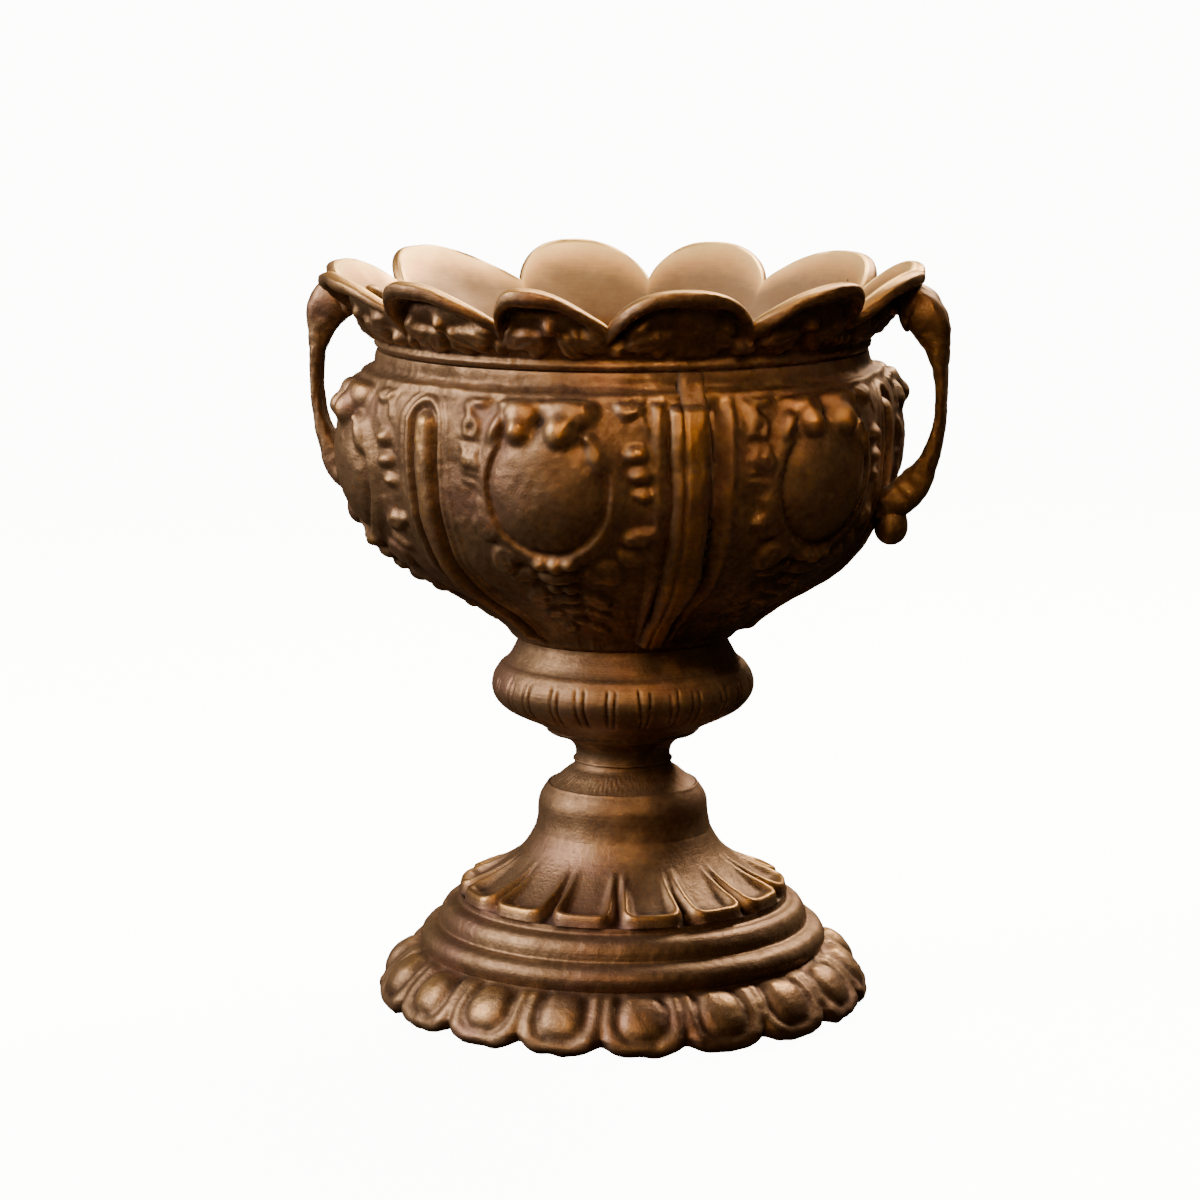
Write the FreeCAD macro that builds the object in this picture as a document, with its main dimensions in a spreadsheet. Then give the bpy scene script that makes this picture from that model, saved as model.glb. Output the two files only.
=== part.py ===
"""A cast-brass pedestal urn: foot, stem and knop on one tie rod, a lobed bowl, a petal crown, two handles.

Millimetres. Z is up, the floor is z = 0 and the axis of the urn is the Z axis. The right handle is on +X.
"""
import FreeCAD
import Part
import math
import os
import Sketcher

# Driving sizes, in millimetres and degrees. Radii are from the axis of the piece.
# Heights are above the base of the piece that they belong to.
DRIVING = [
    # Foot: a hollow casting with an egg band, two plain steps and a fluted bell
    ("foot_height", 70.0),
    ("foot_contact_radius", 98.0),
    ("foot_edge_radius", 99.6),
    ("foot_edge_height", 5.0),
    ("foot_rim_radius", 97.4),
    ("foot_rim_height", 9.5),
    ("egg_band_radius", 92.0),
    ("egg_band_height", 16.5),
    ("egg_band_top_radius", 80.5),
    ("egg_band_top_height", 24.0),
    ("lower_step_height", 27.0),
    ("lower_step_crown_radius", 77.0),
    ("lower_step_crown_height", 31.0),
    ("upper_step_radius", 72.0),
    ("upper_step_bottom", 33.0),
    ("upper_step_height", 36.5),
    ("upper_step_crown_radius", 70.3),
    ("upper_step_crown_height", 39.5),
    ("bell_edge_radius", 67.0),
    ("bell_edge_bottom", 41.5),
    ("bell_edge_height", 44.0),
    ("bell_waist_radius", 44.5),
    ("bell_waist_height", 56.5),
    ("bell_top_radius", 35.8),
    ("foot_wall", 4.0),
    ("foot_rim_width", 9.0),
    ("foot_deck", 6.0),
    ("egg_count", 18),
    ("egg_half_width", 11.0),
    ("egg_half_length", 12.0),
    ("egg_half_depth", 6.5),
    ("egg_sink", 3.0),
    ("egg_slope", 50.0),
    ("edge_notch_radius", 6.0),
    ("edge_notch_depth", 3.0),
    ("edge_notch_height", 14.0),
    ("tongue_count", 14),
    ("tongue_groove_width", 2.4),
    ("tongue_groove_depth", 1.4),
    ("foot_ring_height", 3.0),
    ("foot_ring_wall", 4.0),
    # Stem: a turned cup, open at the bottom, with a spigot on top
    ("stem_height", 29.0),
    ("stem_body_radius", 34.4),
    ("stem_body_height", 10.0),
    ("stem_shoulder_radius", 31.0),
    ("stem_shoulder_height", 18.4),
    ("stem_cove_radius", 25.0),
    ("stem_cove_height", 22.4),
    ("stem_neck_radius", 19.3),
    ("stem_neck_height", 27.0),
    ("stem_wall", 4.2),
    ("stem_deck", 8.0),
    ("stem_spigot_radius", 10.0),
    ("stem_spigot_height", 2.5),
    # Knop: the swelling under the bowl, cored from the top
    ("knop_height", 50.0),
    ("knop_neck_height", 3.0),
    ("knop_throat_radius", 20.4),
    ("knop_throat_height", 7.5),
    ("knop_under_radius", 40.6),
    ("knop_under_height", 17.6),
    ("knop_radius", 53.3),
    ("knop_widest_height", 30.0),
    ("knop_over_radius", 49.4),
    ("knop_over_height", 41.0),
    ("knop_top_radius", 42.5),
    ("knop_lip_height", 1.2),
    ("knop_wall", 4.5),
    ("knop_floor", 6.0),
    ("knop_groove_count", 24),
    ("knop_groove_width", 1.4),
    ("knop_groove_depth", 0.9),
    # Bowl: six lobes with valleys between them, cast in two halves. Drops are below its neck.
    ("bowl_height", 117.0),
    ("bowl_wall", 3.2),
    ("hollow_overrun", 6.0),
    ("bowl_floor", 5.0),
    ("swell_height", 12.0),
    ("swell_radius", 55.5),
    ("swell_lobe", 0.6),
    ("under_height", 24.0),
    ("under_radius", 75.5),
    ("under_lobe", 2.0),
    ("turn_height", 37.0),
    ("turn_radius", 94.0),
    ("turn_lobe", 3.0),
    ("flank_height", 58.0),
    ("flank_radius", 106.5),
    ("flank_lobe", 4.0),
    ("belly_drop", 33.0),
    ("belly_radius", 110.5),
    ("belly_lobe", 5.0),
    ("shoulder_drop", 14.0),
    ("shoulder_radius", 107.3),
    ("shoulder_lobe", 4.2),
    ("bowl_neck_radius", 97.5),
    ("bowl_ring_height", 3.0),
    ("bowl_ring_wall", 4.0),
    ("rib_width", 8.0),
    ("rib_proud", 2.6),
    ("rib_margin", 5.0),
    ("strap_width", 12.0),
    ("cartouche_drop", 9.0),
    ("cartouche_half_width", 22.0),
    ("cartouche_half_height", 25.0),
    ("cartouche_proud", 5.5),
    ("cartouche_border", 4.5),
    ("cartouche_border_proud", 2.6),
    ("cartouche_depth", 9.0),
    # Fruit over the cartouche: two berries under a hood of leaves, and a cup below it
    ("berry_rise", 21.5),
    ("berry_proud", 8.0),
    ("small_berry_offset", 10.1),
    ("small_berry_radius", 5.4),
    ("large_berry_offset", 5.8),
    ("large_berry_radius", 6.8),
    ("hood_rise", 29.0),
    ("hood_half_width", 16.0),
    ("hood_half_height", 8.0),
    ("hood_proud", 4.6),
    ("cup_below", 31.5),
    ("cup_half_width", 9.0),
    ("cup_half_height", 4.5),
    ("cup_proud", 2.4),
    # Crown: the flared rim, with twelve petals
    ("crown_height", 34.0),
    ("crown_bead_proud", 1.8),
    ("crown_bead_height", 3.8),
    ("crown_bow", 0.8),
    ("crown_middle_height", 17.0),
    ("crown_radius", 123.8),
    ("crown_wall", 3.2),
    ("crown_spigot_height", 4.0),
    ("crown_spigot_wall", 3.0),
    ("petal_count", 12),
    ("petal_notch_height", 18.0),
    ("petal_shoulder_offset", 11.0),
    ("petal_shoulder_height", 29.0),
    # Handles: cast S scrolls, riveted to the crown and to the bowl. Reaches are from the metal behind them.
    ("handle_root_reach", -5.0),
    ("handle_root_rise", 17.5),
    ("handle_root_half", 8.0),
    ("handle_bend_reach", 14.3),
    ("handle_bend_rise", 15.5),
    ("handle_bend_half", 6.5),
    ("handle_neck_reach", 19.3),
    ("handle_neck_rise", 6.0),
    ("handle_neck_half", 4.0),
    ("handle_grip_reach", 22.8),
    ("handle_grip_lift", 23.0),
    ("handle_grip_half", 2.9),
    ("handle_palm_reach", 22.8),
    ("handle_palm_lift", 7.0),
    ("handle_palm_half", 3.0),
    ("handle_heel_reach", 19.1),
    ("handle_heel_drop", 8.0),
    ("handle_heel_half", 4.2),
    ("handle_scroll_reach", 16.5),
    ("handle_scroll_lift", 5.0),
    ("handle_scroll_half", 6.0),
    ("handle_toe_reach", -1.0),
    ("handle_toe_drop", 7.0),
    ("handle_toe_half", 6.0),
    ("handle_flatness", 2.2),
    ("handle_drop_radius", 6.2),
    ("handle_drop_half_height", 9.5),
    ("handle_drop_reach", 10.0),
    ("handle_drop_below", 13.5),
    # Rivets that hold the handles
    ("rivet_radius", 2.5),
    ("rivet_head_radius", 4.6),
    ("rivet_grip", 8.0),
    ("upper_rivet_rise", 17.0),
    ("lower_rivet_drop", 4.0),
    # Tie rod and its nuts and washers
    ("rod_radius", 4.0),
    ("rod_tail", 3.0),
    ("rod_chamfer", 0.8),
    ("nut_flats", 13.0),
    ("nut_height", 6.5),
    ("washer_radius", 12.0),
    ("washer_thickness", 2.0),
    # Clearances
    ("fit_clearance", 0.2),
    ("rod_clearance", 0.5),
    ("thread_clearance", 0.05),
    ("rivet_clearance", 0.1),
]

RIB_ANGLES = (0, 60, 180, 240)
LOBE_COUNT = 6
LOBE_PITCH = 360 // LOBE_COUNT
BOWL_LEVELS = ("swell", "under", "turn", "flank", "belly", "shoulder")
HUNG_LEVELS = ("belly", "shoulder")
LIFTED_LEVELS = ("swell", "under", "turn")

doc = FreeCAD.newDocument("PedestalUrn")
sheet = doc.addObject("Spreadsheet::Sheet", "Sizes")
for row, (alias, number) in enumerate(DRIVING, start=1):
    sheet.set(f"A{row}", alias)
    sheet.set(f"B{row}", str(number))
    sheet.setAlias(f"B{row}", alias)
doc.recompute()


class Size:
    """A driving size, or a sum of them: its number now and the expression that it follows."""

    def __init__(self, number, text):
        self.number = float(number)
        self.text = text

    def joined(self, other, sign, number):
        return Size(number, f"({self.text} {sign} {as_size(other).text})")

    def __add__(self, other):
        return self.joined(other, "+", self.number + as_size(other).number)

    def __sub__(self, other):
        return self.joined(other, "-", self.number - as_size(other).number)

    def __mul__(self, other):
        return self.joined(other, "*", self.number * as_size(other).number)

    def __truediv__(self, other):
        return self.joined(other, "/", self.number / as_size(other).number)

    def __rtruediv__(self, other):
        return as_size(other) / self

    def __neg__(self):
        return Size(-self.number, f"(0 - {self.text})")


def as_size(value):
    return value if isinstance(value, Size) else Size(value, repr(value))


def size(alias):
    return Size(sheet.get(alias), f"Sizes.{alias}")


def polar(radius, angle):
    """The point at a radius and an angle in degrees, as two sizes."""
    angle = as_size(angle)
    turn = math.radians(angle.number)
    cosine = Size(math.cos(turn), f"cos({angle.text})")
    sine = Size(math.sin(turn), f"sin({angle.text})")
    return radius * cosine, radius * sine


def bind(thing, name, value):
    thing.setExpression(name, as_size(value).text)


def place(thing, x=0, y=0, z=0, axis=FreeCAD.Vector(0, 0, 1), angle=0):
    """Put a thing at a bound place, turned about an axis through its own origin."""
    place_now = FreeCAD.Vector(*(as_size(value).number for value in (x, y, z)))
    thing.Placement = FreeCAD.Placement(place_now, FreeCAD.Rotation(axis, angle))
    for letter, value in zip("xyz", (x, y, z)):
        bind(thing, f"Placement.Base.{letter}", value)


class Arc:
    """A step of an outline: a round stretch through one point to its end."""

    def __init__(self, through, end):
        self.through = through
        self.end = end


def vector(point):
    return FreeCAD.Vector(as_size(point[0]).number, as_size(point[1]).number, 0)


def pin_point(sketch, geometry, end, point):
    """Hold one end of a sketch line, or a sketch point, at its two bound distances from the origin."""
    for kind, axis, value in (("DistanceX", -2, point[0]), ("DistanceY", -1, point[1])):
        value = as_size(value)
        if abs(value.number) < 1e-6:
            sketch.addConstraint(Sketcher.Constraint("PointOnObject", geometry, end, axis))
            continue
        if value.number > 0:
            rule = Sketcher.Constraint(kind, -1, 1, geometry, end, value.number)
        else:
            value = -value
            rule = Sketcher.Constraint(kind, geometry, end, -1, 1, value.number)
        index = sketch.addConstraint(rule)
        sketch.setExpression(f"Constraints[{index}]", value.text)


def draw_outline(sketch, path):
    """Draw a closed outline: a start point, then points for straight runs and Arc steps for round ones."""
    steps = path[1:]
    last_end = steps[-1].end if isinstance(steps[-1], Arc) else steps[-1]
    if (vector(last_end) - vector(path[0])).Length > 1e-6:
        steps = steps + [path[0]]
    ends = []
    here = path[0]
    for step in steps:
        start = here
        if isinstance(step, Arc):
            here = step.end
            corners = (vector(start), vector(step.through), vector(here))
            turn = (corners[1] - corners[0]).cross(corners[2] - corners[1]).z
            first, last = (1, 2) if turn > 0 else (2, 1)
            index = sketch.addGeometry(Part.Arc(*(corners if turn > 0 else corners[::-1])), False)
            mark = sketch.addGeometry(Part.Point(corners[1]), True)
            pin_point(sketch, mark, 1, step.through)
            sketch.addConstraint(Sketcher.Constraint("PointOnObject", mark, 1, index))
        else:
            here = step
            first, last = 1, 2
            index = sketch.addGeometry(Part.LineSegment(vector(start), vector(here)), False)
        pin_point(sketch, index, first, start)
        ends.append((index, first, last))
    for (index, _, last), (after, first, _) in zip(ends, ends[1:] + ends[:1]):
        sketch.addConstraint(Sketcher.Constraint("Coincident", index, last, after, first))


def origin_plane(body, role):
    return next(item for item in body.Origin.OriginFeatures if item.Role == role)


def body_sketch(body, name, role, path, turn=0):
    """An outline on one of a body's own origin planes, turned about the Z axis."""
    sketch = body.newObject("Sketcher::SketchObject", name)
    sketch.AttachmentSupport = [(origin_plane(body, role), "")]
    sketch.MapMode = "FlatFace"
    if turn:
        upright = FreeCAD.Vector(0, 1, 0)
        sketch.AttachmentOffset = FreeCAD.Placement(FreeCAD.Vector(), FreeCAD.Rotation(upright, turn))
    draw_outline(sketch, path)
    return sketch


def round_sketch(body, name, role, centre, radius):
    """One circle on one of a body's own origin planes, held by its centre and its radius."""
    sketch = body.newObject("Sketcher::SketchObject", name)
    sketch.AttachmentSupport = [(origin_plane(body, role), "")]
    sketch.MapMode = "FlatFace"
    index = sketch.addGeometry(Part.Circle(vector(centre), FreeCAD.Vector(0, 0, 1), radius.number), False)
    pin_point(sketch, index, 3, centre)
    rule = sketch.addConstraint(Sketcher.Constraint("Radius", index, radius.number))
    sketch.setExpression(f"Constraints[{rule}]", radius.text)
    return sketch


def turned_body(label, path, base=0):
    """A body turned from a half outline, standing at a bound height."""
    body = doc.addObject("PartDesign::Body", label)
    body.Label = label
    sketch = body_sketch(body, f"{label}_outline", "XZ_Plane", path)
    turned = body.newObject("PartDesign::Revolution", f"{label}_turned")
    turned.Profile = sketch
    turned.ReferenceAxis = (sketch, ["V_Axis"])
    turned.Angle = 360
    place(body, z=base)
    doc.recompute()
    return body


def repeat_round(body, feature, count):
    """Repeat a feature evenly round the Z axis."""
    ring = body.newObject("PartDesign::PolarPattern", f"{feature.Name}_ring")
    ring.Originals = [feature]
    ring.Axis = (origin_plane(body, "Z_Axis"), [""])
    ring.Angle = 360
    bind(ring, "Occurrences", count)
    body.Tip = ring
    doc.recompute()


def flute_ring(body, name, path, width, count):
    """Cut a groove whose side view is an outline, and repeat it round the body."""
    sketch = body_sketch(body, f"{name}_outline", "XZ_Plane", path)
    groove = body.newObject("PartDesign::Pocket", name)
    groove.Profile = sketch
    groove.SideType = "Symmetric"
    bind(groove, "Length", width)
    doc.recompute()
    repeat_round(body, groove, count)


def combined(kind, label, base, tool):
    """A cut or common of two shapes."""
    result = doc.addObject(kind, label)
    result.Base = base
    result.Tool = tool
    return result


def fused(label, shapes):
    result = doc.addObject("Part::MultiFuse", label)
    result.Shapes = shapes
    return result


def cylinder(label, radius, height, **where):
    result = doc.addObject("Part::Cylinder", label)
    bind(result, "Radius", radius)
    bind(result, "Height", height)
    place(result, **where)
    return result


# Heights of the stack, from the floor
stem_base = size("foot_height")
knop_base = stem_base + size("stem_height")
bowl_base = knop_base + size("knop_height")
crown_base = bowl_base + size("bowl_height")
rod_hole = size("rod_radius") + size("rod_clearance")


def bell_arc(depth):
    """The hollow curve of the foot's bell, sunk by a depth."""
    waist = (size("bell_waist_radius") - depth, size("bell_waist_height") - depth)
    return Arc(waist, (size("bell_top_radius") - depth, size("foot_height")))


def make_foot():
    wall = size("foot_wall")
    deck_under = size("foot_height") - size("foot_deck")
    ring_outer = size("bell_top_radius") - size("stem_wall") - size("fit_clearance")
    ring_top = size("foot_height") + size("foot_ring_height")
    contact = size("foot_contact_radius")
    rim = (size("foot_rim_radius"), size("foot_rim_height"))
    egg_top = (size("egg_band_top_radius"), size("egg_band_top_height"))
    upper = size("upper_step_radius")
    bell = size("bell_edge_radius")
    body = turned_body("foot", [
        (contact, 0),
        Arc((size("foot_edge_radius"), size("foot_edge_height")), rim),
        Arc((size("egg_band_radius"), size("egg_band_height")), egg_top),
        (egg_top[0], size("lower_step_height")),
        Arc((size("lower_step_crown_radius"), size("lower_step_crown_height")),
            (upper, size("upper_step_bottom"))),
        (upper, size("upper_step_height")),
        Arc((size("upper_step_crown_radius"), size("upper_step_crown_height")),
            (bell, size("bell_edge_bottom"))),
        (bell, size("bell_edge_height")),
        bell_arc(Size(0, "0")),
        (ring_outer, size("foot_height")),
        (ring_outer, ring_top),
        (ring_outer - size("foot_ring_wall"), ring_top),
        (ring_outer - size("foot_ring_wall"), size("foot_height")),
        (rod_hole, size("foot_height")),
        (rod_hole, deck_under),
        (size("bell_top_radius") - wall, deck_under),
        (size("bell_waist_radius") - wall, size("bell_waist_height") - wall),
        (bell - wall, size("bell_edge_bottom") - wall),
        (upper - wall, size("upper_step_bottom") - wall),
        (egg_top[0] - wall, egg_top[1] - wall),
        (contact - size("foot_rim_width"), 0),
    ])
    egg = body.newObject("PartDesign::AdditiveEllipsoid", "egg")
    egg.AttachmentSupport = [(origin_plane(body, "XY_Plane"), "")]
    egg.MapMode = "FlatFace"
    egg.AttachmentOffset = FreeCAD.Placement(
        FreeCAD.Vector(), FreeCAD.Rotation(FreeCAD.Vector(0, 1, 0), size("egg_slope").number))
    bind(egg, "AttachmentOffset.Base.x", size("egg_band_radius") - size("egg_sink"))
    bind(egg, "AttachmentOffset.Base.z", size("egg_band_height") - size("egg_sink"))
    bind(egg, "Radius1", size("egg_half_depth"))
    bind(egg, "Radius2", size("egg_half_length"))
    bind(egg, "Radius3", size("egg_half_width"))
    doc.recompute()
    repeat_round(body, egg, size("egg_count"))
    notch_radius = size("edge_notch_radius")
    notch_centre = polar(contact + notch_radius - size("edge_notch_depth"), 180 / size("egg_count"))
    notch_sketch = round_sketch(body, "edge_notch_outline", "XY_Plane", notch_centre, notch_radius)
    notch = body.newObject("PartDesign::Pocket", "edge_notch")
    notch.Profile = notch_sketch
    notch.Reversed = True
    bind(notch, "Length", size("edge_notch_height"))
    doc.recompute()
    repeat_round(body, notch, size("egg_count"))
    groove_depth = size("tongue_groove_depth")
    groove_start = (bell - groove_depth, size("bell_edge_height") - groove_depth)
    flute_ring(body, "tongue_groove", [
        groove_start,
        bell_arc(size("tongue_groove_depth")),
        (bell, size("foot_height")),
        (bell, groove_start[1]),
    ], size("tongue_groove_width"), size("tongue_count"))
    return body


def make_stem():
    base_radius = size("bell_top_radius")
    wall = size("stem_wall")
    height = size("stem_height")
    shoulder = (size("stem_shoulder_radius"), size("stem_shoulder_height"))
    neck = (size("stem_neck_radius"), size("stem_neck_height"))
    socket_top = size("foot_ring_height") + size("fit_clearance")
    cavity_top = height - size("stem_deck")
    spigot = size("stem_spigot_radius")
    return turned_body("stem", [
        (base_radius, 0),
        Arc((size("stem_body_radius"), size("stem_body_height")), shoulder),
        Arc((size("stem_cove_radius"), size("stem_cove_height")), neck),
        (neck[0], height),
        (spigot, height),
        (spigot, height + size("stem_spigot_height")),
        (rod_hole, height + size("stem_spigot_height")),
        (rod_hole, cavity_top),
        (neck[0] - wall, cavity_top),
        (shoulder[0] - wall, shoulder[1] - wall),
        (base_radius - wall, socket_top),
        (base_radius - wall, 0),
    ], stem_base)


def knop_side(depth):
    """The outer side of the knop from throat to widest, and from widest to lip, sunk by a depth."""
    widest = (size("knop_radius") - depth, size("knop_widest_height"))
    under = (size("knop_under_radius") - depth, size("knop_under_height") + depth)
    over = (size("knop_over_radius") - depth, size("knop_over_height"))
    lip = (size("knop_top_radius") - depth, size("knop_height") - size("knop_lip_height"))
    return Arc(under, widest), Arc(over, lip)


def make_knop():
    height = size("knop_height")
    neck = size("stem_neck_radius")
    mouth = size("knop_top_radius") - size("knop_wall")
    socket = size("stem_spigot_radius") + size("fit_clearance")
    socket_top = size("stem_spigot_height") + size("fit_clearance")
    floor = size("knop_throat_height") + size("knop_floor")
    mouth_bottom = height - size("bowl_ring_height") - size("knop_wall")
    lower, upper = knop_side(Size(0, "0"))
    body = turned_body("knop", [
        (socket, 0),
        (neck, 0),
        (neck, size("knop_neck_height")),
        (size("knop_throat_radius"), size("knop_throat_height")),
        lower,
        upper,
        (size("knop_top_radius"), height),
        (mouth, height),
        (mouth, mouth_bottom),
        (size("knop_radius") - size("knop_wall"), size("knop_widest_height")),
        (size("knop_under_radius") - size("knop_wall"), size("knop_under_height") + size("knop_wall")),
        (size("knop_throat_radius") - size("knop_wall"), floor),
        (rod_hole, floor),
        (rod_hole, socket_top),
        (socket, socket_top),
    ], knop_base)
    depth = size("knop_groove_depth")
    groove_side = knop_side(depth)
    widest_outside = size("knop_radius") + depth
    flute_ring(body, "knop_groove", [
        groove_side[0].through,
        groove_side[0].end,
        groove_side[1].through,
        (widest_outside, size("knop_over_height")),
        (widest_outside, size("knop_under_height") + depth),
    ], size("knop_groove_width"), size("knop_groove_count"))
    return body


def level_height(level):
    """Height of one of the bowl's levels above the bowl's base."""
    if level in HUNG_LEVELS:
        return size("bowl_height") - size(f"{level}_drop")
    return size(f"{level}_height")


def level_numbers(level):
    """Height, lobe radius and valley radius of the bowl at one of its levels."""
    radius = size(f"{level}_radius")
    return level_height(level), radius, radius - size(f"{level}_lobe")


def lobed_section(label, height, lobe_radius, valley_radius):
    """A level section of the bowl: six arcs from valley to valley."""
    sketch = doc.addObject("Sketcher::SketchObject", label)
    path = [polar(valley_radius, 0)]
    for turn in range(LOBE_COUNT):
        start = turn * LOBE_PITCH
        lobe = polar(lobe_radius, start + LOBE_PITCH // 2)
        path.append(Arc(lobe, polar(valley_radius, start + LOBE_PITCH)))
    draw_outline(sketch, path)
    place(sketch, z=bowl_base + height)
    return sketch


def lofted(label, sections):
    loft = doc.addObject("Part::Loft", label)
    loft.Sections = sections
    loft.Solid = True
    loft.Ruled = False
    return loft


def bowl_form():
    """The outside of the bowl, filled."""
    seat = size("knop_top_radius")
    neck = size("bowl_neck_radius")
    sections = [lobed_section("bowl_seat_section", Size(0, "0"), seat, seat)]
    for level in BOWL_LEVELS:
        sections.append(lobed_section(f"bowl_{level}_section", *level_numbers(level)))
    sections.append(lobed_section("bowl_neck_section", size("bowl_height"), neck, neck))
    return lofted("bowl_form", sections)


def bowl_hollow():
    """The space inside the bowl, up past its neck so that the mouth is cut clean open."""
    wall = size("bowl_wall")
    floor = size("bowl_floor")
    seat = size("knop_top_radius") - wall
    neck = size("bowl_neck_radius") - wall
    sections = [lobed_section("hollow_seat_section", floor, seat, seat)]
    for level in BOWL_LEVELS:
        height, lobe, valley = level_numbers(level)
        if level in LIFTED_LEVELS:
            height = height + wall
        sections.append(lobed_section(f"hollow_{level}_section", height, lobe - wall, valley - wall))
    mouth_height = size("bowl_height") + size("hollow_overrun")
    sections.append(lobed_section("hollow_neck_section", size("bowl_height"), neck, neck))
    sections.append(lobed_section("hollow_mouth_section", mouth_height, neck, neck))
    return lofted("bowl_hollow", sections)


def rib_form():
    """A round form that stands proud of the bowl's valleys by the height of a rib."""
    proud = size("rib_proud")
    seat = size("knop_top_radius") + proud
    neck = size("bowl_neck_radius") + proud
    sections = [lobed_section("rib_seat_section", Size(0, "0"), seat, seat)]
    for level in BOWL_LEVELS:
        height, _, valley = level_numbers(level)
        sections.append(lobed_section(f"rib_{level}_section", height, valley + proud, valley + proud))
    sections.append(lobed_section("rib_neck_section", size("bowl_height"), neck, neck))
    return lofted("rib_form", sections)


def radial_slab(label, width, angle):
    """An upright slab from the axis outwards, as wide as a rib or strap."""
    slab = doc.addObject("Part::Box", label)
    side_x, side_y = polar(width / 2, angle - 90)
    bind(slab, "Length", size("belly_radius") * 2)
    bind(slab, "Width", width)
    bind(slab, "Height", size("bowl_height") - size("rib_margin") * 2)
    place(slab, side_x, side_y, bowl_base + size("rib_margin"), angle=angle)
    return slab


def cartouche(label, angle, grow, proud):
    """An oval dome on a lobe, at the angle of the lobe's middle."""
    dome = doc.addObject("Part::Ellipsoid", label)
    depth = size("cartouche_depth")
    reach = size("belly_radius") + proud - depth
    bind(dome, "Radius1", size("cartouche_half_height") + grow)
    bind(dome, "Radius2", depth)
    bind(dome, "Radius3", size("cartouche_half_width") + grow)
    x, y = polar(reach, angle)
    place(dome, x, y, bowl_base + level_height("belly") - size("cartouche_drop"), angle=angle)
    return dome


def fruit_lump(label, angle, offset, rise, metal, half_width, half_height, proud):
    """A rounded lump on a lobe, beside and above the middle of its cartouche, standing proud of the metal."""
    lump = doc.addObject("Part::Ellipsoid", label)
    depth = proud * 2
    bind(lump, "Radius1", half_height)
    bind(lump, "Radius2", depth)
    bind(lump, "Radius3", half_width)
    out_x, out_y = polar(metal + proud - depth, angle)
    side_x, side_y = polar(offset, angle + 90)
    middle = bowl_base + level_height("belly") - size("cartouche_drop")
    place(lump, out_x + side_x, out_y + side_y, middle + rise, angle=angle)
    return lump


def cartouche_fruit(angle):
    """The berries and the hood over a cartouche, and the cup under it."""
    shoulder = size("shoulder_radius")
    small = size("small_berry_radius")
    large = size("large_berry_radius")
    rise = size("berry_rise")
    proud = size("berry_proud")
    left = -size("small_berry_offset")
    right = size("large_berry_offset")
    cup_metal = (size("turn_radius") + size("flank_radius")) / 2
    return [
        fruit_lump(f"small_berry_{angle}", angle, left, rise, shoulder, small, small, proud),
        fruit_lump(f"large_berry_{angle}", angle, right, rise, shoulder, large, large, proud),
        fruit_lump(f"hood_{angle}", angle, Size(0, "0"), size("hood_rise"), shoulder, size("hood_half_width"),
                   size("hood_half_height"), size("hood_proud")),
        fruit_lump(f"cup_{angle}", angle, Size(0, "0"), -size("cup_below"), cup_metal,
                   size("cup_half_width"), size("cup_half_height"), size("cup_proud")),
    ]


def bowl_half_space(label, angle):
    """A box over one half of the bowl, to one side of the plane of the seams."""
    box = doc.addObject("Part::Box", label)
    reach = size("belly_radius") * 2
    x, y = polar(reach / 2, angle + 180)
    below = size("bowl_height")
    bind(box, "Length", reach)
    bind(box, "Width", reach)
    bind(box, "Height", below * 3)
    place(box, x, y, bowl_base - below, angle=angle)
    return box


def make_bowl():
    """The bowl's halves and seam straps, the filled bowl that the handles seat on, and the space inside."""
    form = bowl_form()
    hollow = bowl_hollow()
    ribs_all_round = rib_form()
    solids = [form]
    for angle in RIB_ANGLES:
        slab = radial_slab(f"rib_slab_{angle}", size("rib_width"), angle)
        solids.append(combined("Part::Common", f"rib_{angle}", ribs_all_round, slab))
    for turn in range(LOBE_COUNT):
        angle = LOBE_PITCH // 2 + turn * LOBE_PITCH
        border = size("cartouche_border")
        solids.append(cartouche(f"cartouche_border_{angle}", angle, border, size("cartouche_border_proud")))
        solids.append(cartouche(f"cartouche_dome_{angle}", angle, Size(0, "0"), size("cartouche_proud")))
        solids += cartouche_fruit(angle)
    filled = fused("bowl_filled", solids)
    ring_outer = size("knop_top_radius") - size("knop_wall") - size("fit_clearance")
    ring = cylinder("bowl_ring", ring_outer, size("bowl_ring_height") + size("bowl_floor"),
                    z=bowl_base - size("bowl_ring_height"))
    ring_hole = cylinder("bowl_ring_hole", ring_outer - size("bowl_ring_wall"), size("bowl_ring_height"),
                         z=bowl_base - size("bowl_ring_height"))
    floor_hole = cylinder("bowl_floor_hole", rod_hole, size("bowl_floor") * 2, z=bowl_base)
    rivet_bore = cylinder("lower_rivet_bore", size("rivet_radius") + size("rivet_clearance"),
                          size("belly_radius") * 4, x=-(size("belly_radius") * 2), z=lower_rivet_height(),
                          axis=FreeCAD.Vector(0, 1, 0), angle=90)
    cuts = fused("bowl_cuts", [hollow, ring_hole, floor_hole, rivet_bore])
    shell = combined("Part::Cut", "bowl_shell", fused("bowl_with_ring", [filled, ring]), cuts)
    right = combined("Part::Common", "bowl_half_right", shell, bowl_half_space("right_space", 300))
    left = combined("Part::Common", "bowl_half_left", shell, bowl_half_space("left_space", 120))
    straps = []
    for label, angle in (("seam_strap_rear", 120), ("seam_strap_front", 300)):
        slab = radial_slab(f"{label}_slab", size("strap_width"), angle)
        band = combined("Part::Common", f"{label}_band", ribs_all_round, slab)
        straps.append(combined("Part::Cut", label, band, form))
    doc.recompute()
    return [right, left] + straps, filled, hollow


def lower_rivet_height():
    return bowl_base + size("flank_height") - size("lower_rivet_drop")


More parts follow.
